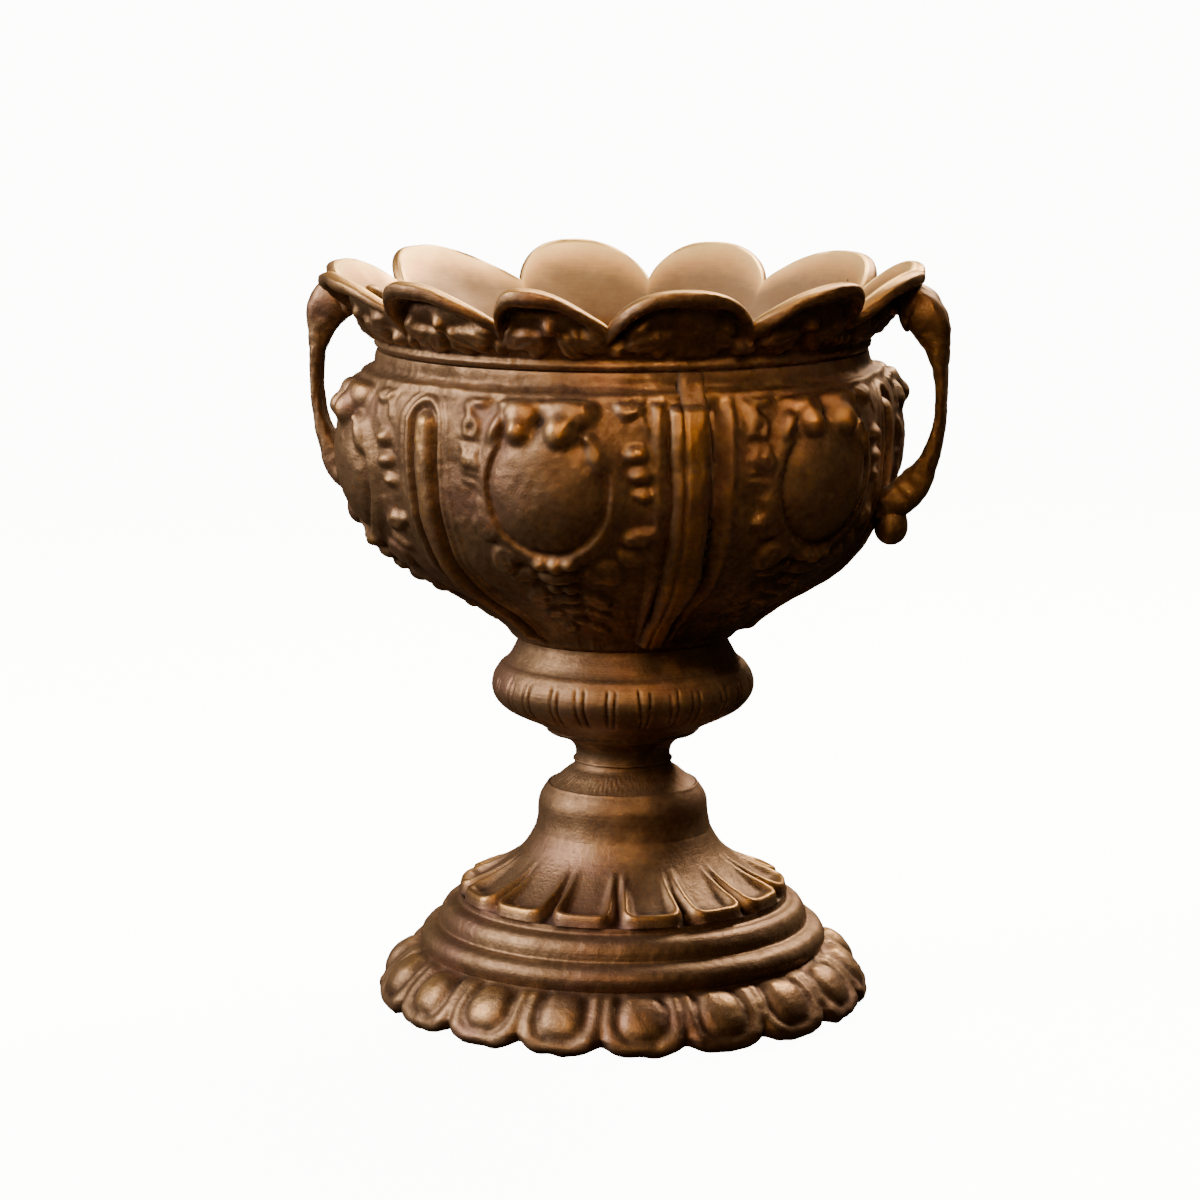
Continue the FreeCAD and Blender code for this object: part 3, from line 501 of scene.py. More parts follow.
def add_node(tree, kind, inputs=(), **settings):
    """Adds a shader node with its settings; inputs, by name or in order, are values or what to link from."""
    made = tree.nodes.new("ShaderNode" + kind)
    for name, value in settings.items():
        setattr(made, name, value)
    for key, value in inputs.items() if isinstance(inputs, dict) else enumerate(inputs):
        if isinstance(value, bpy.types.Node):
            value = value.outputs[0]
        if isinstance(value, bpy.types.NodeSocket):
            tree.links.new(value, made.inputs[key])
        else:
            made.inputs[key].default_value = value
    return made


def per_mm(millimetres):
    """Texture scale that gives a pattern of a real size."""
    return 1 / (millimetres * MM)


def opaque(shade):
    """A linear colour with its alpha."""
    return tuple(shade) + (1.0,)


def set_stops(shades, *stops):
    """Gives a colour ramp its stops of (place, linear colour)."""
    elements = shades.color_ramp.elements
    while len(elements) < len(stops):
        elements.new(1.0)
    for element, (place, shade) in zip(elements, stops):
        element.position = place
        element.color = opaque(shade)


def new_material(name):
    """Makes a material without nodes and returns the call that adds nodes to it."""
    material = bpy.data.materials.new(name)
    material.use_nodes = True
    material.node_tree.nodes.clear()
    return functools.partial(add_node, material.node_tree)


def end_surface(add, inputs):
    """Ends the nodes of a material with a surface that has the given inputs."""
    add("OutputMaterial", [add("BsdfPrincipled", inputs)])


def oxidised_brass(add, place, finish, turned):
    """Sand-cast brass, grained and pitted by the mould, with a brown oxide rubbed through on what stands out.

    To the eye it is a soft brown metal: broad dull highlights, near black hollows, gold on the ridges. The
    hollows are dark with oxide and with painted shade. A turned piece also has the fine level lines of the
    lathe and the file.
    """
    relief = add("Attribute", attribute_name="relief").outputs["Fac"]
    cloud = add("TexNoise", {"Vector": place, "Scale": per_mm(16), "Detail": 5.0, "Roughness": 0.62})
    bloom = add("TexNoise", {"Vector": place, "Scale": per_mm(34), "Detail": 3.0, "Distortion": 0.6})
    grain = add("TexNoise", {"Vector": place, "Scale": per_mm(0.9), "Detail": 2.0})
    pits = add("TexNoise", {"Vector": place, "Scale": per_mm(2.6), "Detail": 3.0, "Roughness": 0.7})
    clouded = add("Math", [cloud, 0.75, 0.12], operation="MULTIPLY_ADD")
    speckled = add("Math", [pits, 0.3, -0.15], operation="MULTIPLY_ADD")
    worn_and_shaded = add("Math", [relief, 0.4, clouded], operation="MULTIPLY_ADD")
    worn_and_shaded = add("Math", [worn_and_shaded, speckled], operation="ADD")
    rough = add("Math", [pits, 2.2, grain], operation="MULTIPLY_ADD")
    if turned:
        # The lathe lines are about 0.9 mm apart and long round the piece
        stretched = add("Mapping", {"Vector": place, "Scale": (per_mm(60), per_mm(60), per_mm(0.9))})
        lines = add("TexNoise", {"Vector": stretched, "Scale": 1.0, "Detail": 2.0, "Roughness": 0.6})
        lined = add("Math", [lines, 0.16, -0.08], operation="MULTIPLY_ADD")
        worn_and_shaded = add("Math", [worn_and_shaded, lined], operation="ADD")
        rough = add("Math", [lines, 0.7, rough], operation="MULTIPLY_ADD")
    # The darkest stop paints the hollows near black, as oxide and as painted shade
    shades = add("ValToRGB", [worn_and_shaded])
    set_stops(
        shades, (0.12, finish.recess_oxide_and_shade), (0.38, finish.patina), (0.62, finish.bronze), (0.92, finish.rubbed))
    # A map range takes a value, the range that it comes from and the range that it goes to
    pink = add("MapRange", [bloom, 0.5, 0.7, 0.0, 0.45])
    dull = add("MapRange", [worn_and_shaded, 0.1, 0.9, 0.62, 0.44])
    bare = add("MapRange", [worn_and_shaded, 0.1, 0.5, 0.68, 0.92])
    tint = add("Mix", {"Factor": pink, "A": shades, "B": opaque(finish.blush)}, data_type="RGBA")
    bump = add("Bump", {"Strength": 0.5, "Distance": 0.22 * MM, "Height": rough})
    end_surface(add, {
        "Base Color": tint.outputs["Result"], "Metallic": bare, "Roughness": dull, "Normal": bump})


def brushed_brass(add, place, finish):
    """Clean brass inside the crown: brushed round the rim, with a thin tan tarnish, and pale gold towards the
    tips as a painted highlight.
    """
    rise = add("Attribute", attribute_name="relief").outputs["Fac"]
    tarnish = add("TexNoise", {"Vector": place, "Scale": per_mm(22), "Detail": 5.0, "Roughness": 0.65})
    stretched = add("Mapping", {"Vector": place, "Scale": (per_mm(9), per_mm(9), per_mm(0.8))})
    strokes = add("TexNoise", {"Vector": stretched, "Scale": 1.0, "Detail": 3.0})
    mixed = add("Math", [strokes, 0.25, tarnish], operation="MULTIPLY_ADD")
    stained = add("Math", [mixed, 0.4], operation="MULTIPLY")
    # The relief paints the inside of the crown brighter towards the tips, a painted highlight
    tarnish_and_sheen = add("Math", [rise, 0.75, stained], operation="MULTIPLY_ADD")
    shades = add("ValToRGB", [tarnish_and_sheen])
    set_stops(
        shades, (0.12, finish.patina), (0.42, finish.bronze), (0.7, finish.bright), (1.0, finish.pale))
    dull = add("MapRange", [tarnish, 0.3, 0.7, 0.62, 0.46])
    bump = add("Bump", {"Strength": 0.35, "Distance": 0.15 * MM, "Height": strokes})
    end_surface(add, {"Base Color": shades, "Metallic": 0.92, "Roughness": dull, "Normal": bump})


def oiled_steel(add, place, finish):
    """Plain steel of the tie rod, nuts and washers: grey, dulled unevenly by a film of oil."""
    film = add("TexNoise", {"Vector": place, "Scale": per_mm(5), "Detail": 4.0})
    shades = add("ValToRGB", [film])
    set_stops(shades, (0.35, [value * 0.6 for value in finish.steel]), (0.65, finish.steel))
    dull = add("MapRange", [film, 0.3, 0.7, 0.5, 0.34])
    end_surface(add, {"Base Color": shades, "Metallic": 1.0, "Roughness": dull})


def peened_brass(add, place, finish):
    """Rivet brass, hammered over: dull yellow-brown with small flats from the hammer."""
    flats = add("TexVoronoi", {"Vector": place, "Scale": per_mm(1.6)})
    shades = add("ValToRGB", [flats])
    set_stops(shades, (0.2, finish.rubbed), (0.8, finish.bronze))
    bump = add("Bump", {"Strength": 0.6, "Distance": 0.2 * MM, "Height": flats})
    end_surface(add, {"Base Color": shades, "Metallic": 1.0, "Roughness": 0.46, "Normal": bump})


FINISHES = {
    "sand_cast_brass": functools.partial(oxidised_brass, turned=False),
    "turned_brass": functools.partial(oxidised_brass, turned=True),
    "brushed_brass_inside": brushed_brass,
    "oiled_steel": oiled_steel,
    "peened_brass": peened_brass,
}


def finish_named(name):
    """A finish, made the first time that a piece asks for it."""
    if name not in bpy.data.materials:
        add = new_material(name)
        FINISHES[name](add, add("TexCoord").outputs["Object"], bpy.context.scene.urn_finish)
    return bpy.data.materials[name]


# Foot


def foot_sides(foot):
    """The foot's outer side from the floor to the stem, and the underside back to the floor."""
    edge, wall = (foot.edge_radius, 0), foot.wall
    band = (foot.band_top_radius, foot.band_top_height)
    bell = (foot.bell_radius, foot.bell_height)
    top, deck = (foot.top_radius, STEM_BASE), STEM_BASE - 6
    start = near(edge, (-2, 0))
    outer = joined_runs(
        *start,
        (0.9, near(edge, (0, 3), (0, 6), (-2.2, 10), (-7.4, 16.4), (-13.4, 21)) + [band]),
        (0.6, near(band, (0.3, 1.6), (-0.3, 4.2), (-2.2, 6.4), (-5.2, 7.6))),
        (0.6, near(band, (-7.2, 8.2), (-7.4, 9.4))),
        (0.6, near(band, (-7.7, 11.4), (-8.8, 14), (-10.4, 15.8), (-12.2, 16.6))),
        (0.6, [(bell[0] - 0.4, band[1] + 17.4), bell]),
        (0.9, near(bell, (-6.2, 3.2), (-13.4, 7.4), (-20.4, 12.5), (-26.2, 18))
         + near(top, (1.8, -3.4), (0, 0))),
    )
    under = joined_runs(
        top,
        (6, [(ROD_HOLE, STEM_BASE)]),
        (6, [(ROD_HOLE, deck)]),
        (6, [(top[0] - wall, deck)]),
        (6, near(bell, (-22.5 - wall, 12.5 - wall), (-wall, -6.5))),
        (6, near(band, (-wall, -wall))),
        (6, near(edge, (-10.6, 0))),
        (3, start),
    )
    return outer, under


def egg_band_relief(foot, angle, along, band_length, draws):
    """Eggs in moats with rolled borders and a cut between neighbours, over the egg band."""
    pitch = 360 / EGGS
    lap = np.floor(angle / pitch)
    number = lap.astype(int) % EGGS
    middle_radius = foot.edge_radius * 0.95
    across = ((angle / pitch - lap) - 0.5) * 2 * np.pi * middle_radius / EGGS
    up = along - band_length * 0.55
    lean = draws.uniform(-0.6, 0.6, EGGS)[number]
    swell = draws.uniform(0.85, 1.1, EGGS)[number]
    across = across + lean
    (half_wide, half_tall), squareness = (9.8, 10.6), 2.6
    squared = (np.abs(across) / half_wide) ** squareness + (np.abs(up - 0.8) / half_tall) ** squareness
    egg = foot.egg_height * swell * np.clip(1 - squared, 0, 1) ** 0.45
    border_wide, border_tall = 13.2, 13.6
    round_end = np.hypot(across / border_wide, np.minimum(up, 0) / border_tall) * border_wide
    border_line = np.where(up < 0, round_end, np.abs(across))
    border = foot.border_height * ramp(border_line, 10.4, 2.4) ** 0.7 * (up < 11)
    seam = np.pi * middle_radius / EGGS - np.abs(across)
    border = border - 1.7 * hump(seam, 0, 1.3)
    lip = foot.border_height * 1.3 * hump(up + 13.4 + 0.018 * across ** 2, 0, 2.9)
    bead = mound(across, up, (-4.2, 8.4, 2.6, 2.2, foot.egg_height * 1.05, 0))
    field = np.maximum.reduce([egg, border, lip, bead])
    return field - 0.6 * hump(border_line, 10.2, 1.6) * (field < 0.4)


def tongue_relief(foot, angle, along, bell_length):
    """Tongues on the bell: each a hollow panel with a rolled lip, with a cut between neighbours."""
    pitch = 360 / TONGUES
    offset = (angle / pitch - np.floor(angle / pitch) - 0.5) * 2
    share = along / bell_length
    half = np.pi * (foot.bell_radius - 0.46 * along) / TONGUES
    corner = 7.5
    past_side = np.abs(offset) * half - (half - corner - 0.8)
    past_end = corner + 0.6 - along
    round_corner = np.hypot(np.clip(past_side, 0, None), np.clip(past_end, 0, None))
    inset = corner - round_corner - np.minimum(np.maximum(past_side, past_end), 0)
    roll = 2.9 - 1.1 * ramp(share, 0, 0.6)
    border = ridge(inset - roll, roll, foot.tongue_height)
    lip = foot.tongue_height * 0.4 * hump(along, 3.4, 2.6) * ramp(inset, 0, 2.5)
    panel = -0.8 * ramp(inset, 2 * roll, 2.0)
    groove = -2.2 * hump(np.clip(inset + 0.5, 0, None), 0, 1.1)
    return (border + lip + panel + groove) * ramp(share, 0.74, -0.5)


class URN_OT_foot(bpy.types.Operator):
    """Spins the foot and chases its egg band and tongues"""
    bl_idname = "urn.foot"
    bl_label = "Foot"

    def execute(self, context):
        foot = in_mm(context.scene.urn_foot)
        draws = np.random.default_rng(SEED)
        columns = 612
        outer, under = foot_sides(foot)
        section = np.vstack([outer, under])
        rows = len(outer)
        angle = around(columns)
        along = run_lengths(outer)[:, None] + 0 * angle
        band_row = int(np.argmax(outer[:, 1] >= foot.band_top_height))
        bell_row = int(np.argmax(outer[:, 1] >= foot.bell_height - 0.3))
        band_length = along[band_row, 0]
        field = np.zeros_like(along)
        field[:band_row] = egg_band_relief(foot, angle, along[:band_row], band_length, draws)
        on_bell = along[bell_row:] - along[bell_row]
        field[bell_row:] = tongue_relief(foot, angle, on_bell, on_bell[-1, 0])
        field = blurred(field, 4)
        rough = rough_skin(angle, along, 90, draws, (0.22, 16), (0.1, 5))
        rough = rough * (outer[:, 0:1] / foot.edge_radius) ** 2
        # The edge is notched between the eggs, and is raised off the floor there
        pitch = 360 / EGGS
        notch_depth, notch_height, notch_half = 3.4, 12, 0.3
        gap = np.abs(angle / pitch - np.round(angle / pitch)) * 2
        notch = np.clip(1 - gap / notch_half, 0, 1) ** 1.5
        low = np.clip(1 - outer[:, 1:2] / notch_height, 0, 1)
        radius, height = spread(section, columns)
        normal = outward(section)[:rows]
        lift = field + rough * ramp(along, 0, 4)
        in_band = along < band_length
        set_back = 2.8
        radius[:rows] += normal[:, 0:1] * (lift - set_back * in_band) - notch_depth * notch * low
        rise = normal[:, 1:2] * (lift - foot.egg_height * 0.5 * in_band)
        height[:rows] += np.where(along > 2, rise, 0)
        hem, hem_rise, ragged_rise = 9, 3.2, 0.8
        ragged = 0.5 + 0.5 * uneven(angle, 0 * angle, 9, 98, draws)
        raised = hem_rise * np.abs(np.sin(np.pi * angle / pitch + np.pi / 2)) ** 6 + ragged_rise * ragged
        in_hem = np.maximum(height, 0) + raised * np.clip(1 - height / hem, 0, 1)
        height = np.maximum(np.where(height < hem, in_hem, height), 0)
        piece, _ = spun_piece("foot_casting", section, (radius, angle, height, wear_and_shade(field, 50, 1.8)))
        finish_piece(piece, ["turned_brass"], "foot")
        return {"FINISHED"}


# Stem and knop


def turned_piece(name, node, sides, field, draws, rough):
    """A spun piece with relief and a rough skin on its outer side."""
    section = np.vstack(sides)
    angle = around(field.shape[1])
    lift = field + rough * uneven(angle, sides[0][:, 1:2], 14, 40, draws)
    lift[0] = lift[-1] = 0
    radius, height = lifted(section, outward(section), lift)
    piece, _ = spun_piece(name, section, (radius, angle, height, wear_and_shade(field, 30, 1.0)))
    finish_piece(piece, ["turned_brass"], node)


class URN_OT_stem(bpy.types.Operator):
    """Spins the stem between the foot and the knop"""
    bl_idname = "urn.stem"
    bl_label = "Stem"

    def execute(self, context):
        stem = in_mm(context.scene.urn_stem)
        draws = np.random.default_rng(SEED + 1)
        base, wall, deck = STEM_BASE, stem.wall, KNOP_BASE - 8
        bottom = (context.scene.urn_foot.top_radius / MM, base)
        body, shoulder = (stem.body_radius, base), (stem.shoulder_radius, base)
        neck, top = (stem.neck_radius, base), (stem.neck_radius, KNOP_BASE)
        outer = joined_runs(
            bottom,
            (0.6, near(body, (0.3, 6), (0, 11)) + near(shoulder, (1.9, 15.2), (0, 17.8))),
            (0.4, near(shoulder, (-0.9, 18.9), (-1.6, 18.7))),
            (0.5, near(shoulder, (-5, 21.2)) + near(neck, (2.8, 24.4), (0.6, 26.2)) + near(top, (0, -1.1))),
            (0.4, near(top, (0.9, -0.7), (0.6, 0))),
        )
        inner = joined_runs(
            *near(top, (0.6, 0)),
            (5, [(ROD_HOLE, KNOP_BASE)]),
            (5, [(ROD_HOLE, deck)]),
            (5, [(stem.neck_radius - wall, deck)]),
            (5, near(shoulder, (-wall, 14)) + near(bottom, (-wall, 0))),
            (3, [bottom]),
        )
        angle = around(360)
        up = outer[:, 1:2] - base
        chisel = uneven(angle * 3, up, 4, 26, draws) * hump(up, 22, 3)
        field = 0.16 * np.clip(chisel - 0.2, -1, 1) + 0.05 * uneven(angle, up * 6, 30, 34, draws)
        turned_piece("stem_turning", "stem", (outer, inner), field, draws, 0.1)
        return {"FINISHED"}


class URN_OT_knop(bpy.types.Operator):
    """Spins the knop and cuts the pairs of lines round it"""
    bl_idname = "urn.knop"
    bl_label = "Knop"

    def execute(self, context):
        knop = in_mm(context.scene.urn_knop)
        draws = np.random.default_rng(SEED + 2)
        base, wall, deck = KNOP_BASE, 4.5, KNOP_BASE + 13.5
        neck = (context.scene.urn_stem.neck_radius / MM, base)
        throat, belly, top = (knop.throat_radius, base), (knop.radius, base), (knop.top_radius, base)
        seat = (knop.top_radius, BOWL_BASE)
        outer = joined_runs(
            neck,
            (0.5, near(neck, (-0.2, 2.4)) + near(throat, (-0.7, 5), (1.6, 7.6))),
            (0.5, near(throat, (5.4, 9.8), (8.8, 10.8))),
            (0.4, near(throat, (10.2, 11.4), (10.4, 12.6))),
            (0.7, near(throat, (16, 15.8))
             + near(belly, (-8, 19.8), (-1.8, 25), (0, 30), (-0.9, 34.6), (-3.4, 38.6))),
            (0.4, near(belly, (-4.6, 39.6), (-5.4, 40.1))),
            (0.6, near(belly, (-7.2, 42.2)) + near(top, (1.6, 45.2), (0.4, 47.6)) + [seat]),
        )
        inner = joined_runs(
            seat,
            (5, near(seat, (-wall, 0))),
            (5, near(top, (-wall, 42.5)) + near(belly, (-wall, 30))
             + near(throat, (16 - wall, 22), (-wall, 13.5))),
            (5, [(ROD_HOLE, deck)]),
            (5, [(ROD_HOLE, base)]),
            (5, [neck]),
        )
        angle = around(690)
        up = outer[:, 1:2] - base
        field = np.zeros((len(up), angle.shape[1]))
        line_middle = 29
        for pair in range(LINE_PAIRS):
            middle = (pair + draws.uniform(-0.14, 0.14)) * 360 / LINE_PAIRS
            around_knop = np.radians(turn_from(angle, middle)) * knop.radius
            for hand in (-1, 1):
                lean = draws.uniform(-0.1, 0.1)
                across = around_knop - hand * draws.uniform(1.3, 2.0) - lean * (up - line_middle)
                low, high = draws.uniform(18.5, 21), draws.uniform(35, 37.5)
                ends = ramp(up, low, 2) * ramp(up, high, -1.5)
                cut = draws.uniform(0.75, 1.15) * knop.cut_depth
                field = np.minimum(field, -cut * hump(across, 0, 0.6) * ends)
        turned_piece("knop_turning", "knop", (outer, inner), field, draws, 0.14)
        return {"FINISHED"}


# Bowl


# Ornament of a lobe, in mm from the middle of its boss, as it stands towards the eye
BERRIES = [
    (-10.1, 20.4, 5.6, 5.6, 6.6, 0),
    (5.8, 20.6, 6.9, 7.0, 7.4, 0),
    (-4.1, 31.0, 3.4, 3.2, 3.8, 0),
    (-10.4, 26.6, 7.4, 6.4, 4.4, 0),
    (8.0, 28.6, 11.5, 8.2, 4.8, -8),
    (16.2, 18.2, 2.5, 2.3, 4.6, 0),
    (19.2, 12.0, 8.2, 3.8, 4.6, -68),
    (-20.2, 20.6, 7.0, 3.0, 3.6, 62),
    (-16.6, 29.8, 4.2, 2.4, 3.0, 30),
    (15.2, 28.4, 5.0, 2.6, 3.2, -38),
]
LEAVES = [
    (-22.0, 42.6, 14.0, 3.0, 2.0, 197),
    (-23.5, 42.0, 11.5, 2.8, 1.9, 224),
    (-38.5, 36.5, 8.5, 2.4, 1.6, 62),
    (22.0, 41.5, 14.5, 3.0, 1.8, -20),
    (24.0, 40.2, 10.5, 2.6, 1.7, -48),
    (-29.0, -5.0, 12.5, 3.0, 2.6, -62),
    (27.6, -21.4, 15.5, 3.6, 2.8, 14),
    (24.5, -26.5, 11.0, 2.8, 2.0, -22),
    (-7.5, -33.8, 12.5, 2.9, 2.2, 200),
    (10.0, -34.2, 12.0, 2.7, 2.0, -18),
    (-5.8, -42.8, 11.5, 2.7, 2.0, 205),
    (7.4, -43.0, 11.5, 2.7, 2.0, -24),
    (-4.2, -52.2, 9.5, 2.5, 1.9, 207),
    (5.4, -52.0, 9.5, 2.5, 1.9, -26),
    (-2.6, -60.6, 7.2, 2.2, 1.7, 212),
    (3.4, -60.4, 7.2, 2.2, 1.7, -32),
    (-31.8, 25.2, 6.5, 2.3, 2.0, 130),
    (-31.4, 24.6, 6.5, 2.3, 2.0, 236),
]
CUPS = [
    (-4.6, -29.6, 4.0, 2.8, 4.2, 0),
    (1.0, -30.2, 3.8, 3.2, 4.8, 0),
    (6.4, -29.6, 4.0, 2.8, 4.2, 0),
    (1.0, -35.6, 9.0, 3.2, 3.4, 0),
    (-2.0, -40.8, 3.6, 2.2, 3.0, 0),
    (3.8, -40.8, 3.6, 2.2, 3.0, 0),
    (1.0, -45.8, 6.4, 2.6, 2.6, 0),
    (1.0, -51.0, 4.8, 2.2, 2.6, 0),
    (0.8, -58.0, 3.6, 2.0, 2.2, 0),
]
SCROLLS = [
    (-28.2, 33.6, 6.4, 1.5, 2.8, 1),
    (30.2, 31.2, 6.4, 1.5, 2.4, -1),
    (-25.4, -17.2, 5.4, 1.4, 2.6, -1),
    (-19.4, -30.2, 5.6, 1.4, 2.5, 1),
    (20.4, -34.6, 4.8, 1.3, 2.2, -1),
    (-12.0, -49.0, 3.4, 1.1, 1.7, 1),
    (12.2, -48.6, 3.4, 1.1, 1.7, -1),
]
BLOCKS = [
    (34.4, 12.4, 5.2, 3.4, 3.4, 8),
    (35.6, 4.2, 5.0, 3.1, 3.2, 4),
    (36.8, -3.6, 4.4, 2.6, 2.4, -4),
    (-33.8, 8.6, 2.6, 3.0, 2.8, 0),
    (-30.4, 8.2, 2.4, 3.2, 2.8, 0),
]
BARS = [
    ((-36.4, 12.8), (-28.2, 12.4), 1.0, 1.9),
    ((-36.0, 3.8), (-28.0, 3.2), 1.0, 1.9),
    ((-36.0, 0.4), (-29.0, -0.4), 0.9, 1.5),
    ((-37.2, 17.6), (-29.2, 16.8), 0.9, 1.4),
    ((18.0, 37.6), (30.0, 34.6), 1.0, 1.1),
    ((30.0, 34.6), (38.2, 20.8), 1.0, 1.1),
]
# Small rings beside the boss: centre, half sizes of the oval, half width, height
RINGS = [
    ((-32.2, 21.0), (3.2, 3.6), 1.0, 1.9),
    ((-33.8, 8.4), (2.2, 2.7), 0.8, 3.2),
    ((-29.8, 8.0), (2.0, 2.6), 0.8, 3.2),
]


def lobe_ornament(bowl, across, up, draws):
    """Height of the cast ornament over one lobe."""
    drift = draws.uniform(-0.35, 0.35, 2)
    across, up = across + drift[0], up + drift[1]
    strength = draws.uniform(0.95, 1.05)
    centre, halves = (0, -1.4), (22.4, 24.4)
    boss = mound(across, up, (*centre, *halves, bowl.boss_height, 0))
    beyond = past_oval(across, up, centre, halves)
    # The ring round the boss is open under the berries and over the cups
    open_top = ramp(np.abs(np.degrees(np.arctan2(across, up))), 44, 8)
    open_foot = ramp(np.abs(np.degrees(np.arctan2(across - 0.6, up))), 170, -6)
    frame_line = ridge(beyond - 2.3, 1.5, 2.3) * open_top * open_foot
    frame_band = 1.5 * ramp(beyond, 7.6, -2.2) * ramp(beyond, 0, 2) * open_top
    swell = mound(across, up, (0, -1, 33, 37, 2.2, 0)) * 0.6
    moat = -0.7 * hump(beyond, 0.4, 0.8) * open_top
    parts = [boss, frame_line, frame_band]
    for shape, spots in ((mound, BERRIES + CUPS + BLOCKS), (leaf, LEAVES), (scroll, SCROLLS), (stroke, BARS)):
        parts += [shape(across, up, spot) for spot in spots]
    for *oval, half, tall in RINGS:
        parts.append(ridge(past_oval(across, up, *oval), half, tall))
    return (np.maximum.reduce(parts) + swell + moat) * strength


def bowl_side(bowl):
    """The bowl's outer side on a lobe, from its seat up: radius, height and depth of the valleys."""
    seat, belly, neck, deep = bowl.seat_radius, bowl.belly_radius, bowl.neck_radius, bowl.lobe_depth
    base, top = BOWL_BASE, CROWN_BASE
    return joined_runs((seat, base, 0), (0.85, [
        (belly - 55, base + 12, deep * 0.12), (belly - 35, base + 24, deep * 0.4),
        (belly - 16.5, base + 37, deep * 0.6), (belly - 4, base + 58, deep * 0.8), (belly, top - 33, deep),
        (belly - 3.2, top - 14, deep * 0.84), (neck + 2.2, top - 4.2, deep * 0.3), (neck, top, 0)]))


def from_lobe(angle):
    """Angle from the middle of the nearest lobe, in degrees."""
    pitch = 360 / LOBES
    return angle % pitch - pitch / 2


def lobed_radius(crest, deep, angle):
    """Radius of a lobed section: six arcs that meet in valleys; angle is from a lobe's middle, in degrees."""
    half = math.radians(180 / LOBES)
    valley = crest - np.maximum(deep, 0.01)
    middle = (crest ** 2 - valley ** 2) / (2 * (crest - valley * math.cos(half)))
    turn = np.radians(angle)
    return middle * np.cos(turn) + np.sqrt((crest - middle) ** 2 - (middle * np.sin(turn)) ** 2)


def bowl_fields(bowl, columns):
    """Radius, height and wear of the bowl's outer side all round it, and the side on a lobe."""
    draws = np.random.default_rng(SEED + 3)
    side = bowl_side(bowl)
    crest, up, deep = side[:, 0:1], side[:, 1:2], side[:, 2:3]
    below, above = CROWN_BASE - up, up - BOWL_BASE
    angle = around(columns)
    pitch = 360 / LOBES
    local = from_lobe(angle)
    radius = lobed_radius(crest, deep, local)
    field = np.zeros_like(radius)
    boss_level = CROWN_BASE - 42
    per_lobe = columns // LOBES
    for lobe in range(LOBES):
        over = slice(lobe * per_lobe, (lobe + 1) * per_lobe)
        across = np.radians(local[:, over]) * crest
        field[:, over] = lobe_ornament(bowl, across, up - boss_level + 0 * across, draws)
    # Ribs in the valleys, with round tops, and borders beside the straps over the seams
    narrow = np.clip(crest / bowl.belly_radius, 0.3, 1)
    from_valley = np.radians(pitch / 2 - np.abs(local)) * crest / narrow
    rib_top = CROWN_BASE - 23
    from_rib = np.hypot(from_valley, np.clip(up - rib_top, 0, None))
    ribs = np.maximum.reduce([
        ridge(from_rib - inset, half, tall)
        for inset, half, tall in ((0, 5.4, bowl.rib_height), (9.2, 1.9, 1.9), (12.8, 1.3, 1.0))])
    from_seam = np.radians(turn_from(angle, FRONT_SEAM, 180)) * crest / narrow
    borders = np.maximum(ridge(from_seam + 15.0, 2.8, 1.8), ridge(from_seam - 14.4, 1.8, 1.2))
    borders = borders - 3.4 * hump(from_seam, 8.0, 2.6)
    valley_angle = (np.round(angle / pitch) * pitch) % 360
    strapped = (valley_angle == FRONT_SEAM) | (valley_angle == REAR_SEAM)
    cleared = ramp(np.where(strapped, from_valley, from_rib), 9.5, 4)
    framing = np.where(strapped, borders, ribs)
    moats = -1.1 * hump(from_rib, 6.6, 1.1) * ~strapped
    field = np.maximum(field * cleared, np.maximum(framing, 0)) + np.minimum(framing, 0) + moats
    field = field * ramp(below, 10.5, 2.5) * ramp(above, 3, 5)
    # A bead and a channel round the neck, and a bead over the seat
    channel_level = 5.2
    field = field + ridge(below - 9.2, 1.3, 1.1) - 1.5 * hump(below, channel_level, 2.3)
    field = blurred(field + ridge(above - 2.2, 1.6, 1.0), 2)
    rough = rough_skin(angle, up, 105, draws, (0.3, 15), (0.12, 5))
    channel = hump(below, channel_level, 2.6) * uneven(angle, up * 5, 14, 98, draws, 60)
    rough = (rough + 0.22 * channel) * ramp(below, 0, 3) * ramp(above, 0, 3)
    normal = outward(side[:, :2])
    normal[0] = normal[-1] = (1, 0)
    lift = field + rough
    return radius + normal[:, 0:1] * lift, up + normal[:, 1:2] * lift, wear_and_shade(field, 60, 3.2), side


def bowl_inside(bowl, side):
    """The bowl's inner side, from the neck down to the floor and back to the seat."""
    wall, floor = bowl.wall, BOWL_BASE + 5
    crest = side[::7][::-1]
    lift = ramp(crest[:, 1:2], CROWN_BASE - 62, -30) * wall
    inner = np.column_stack([crest[:, 0:1] - wall, crest[:, 1:2] + lift, crest[:, 2:3]])
    inner = inner[inner[:, 1] > floor + 1]
    inner[0] = (bowl.neck_radius - wall, CROWN_BASE, 0)
    base = joined_runs(
        (bowl.seat_radius - wall, floor),
        (6, [(ROD_HOLE, floor)]),
        (6, [(ROD_HOLE, BOWL_BASE)]),
        (6, [(bowl.seat_radius, BOWL_BASE)]),
    )
    return np.vstack([inner, np.column_stack([base, np.zeros(len(base))])])


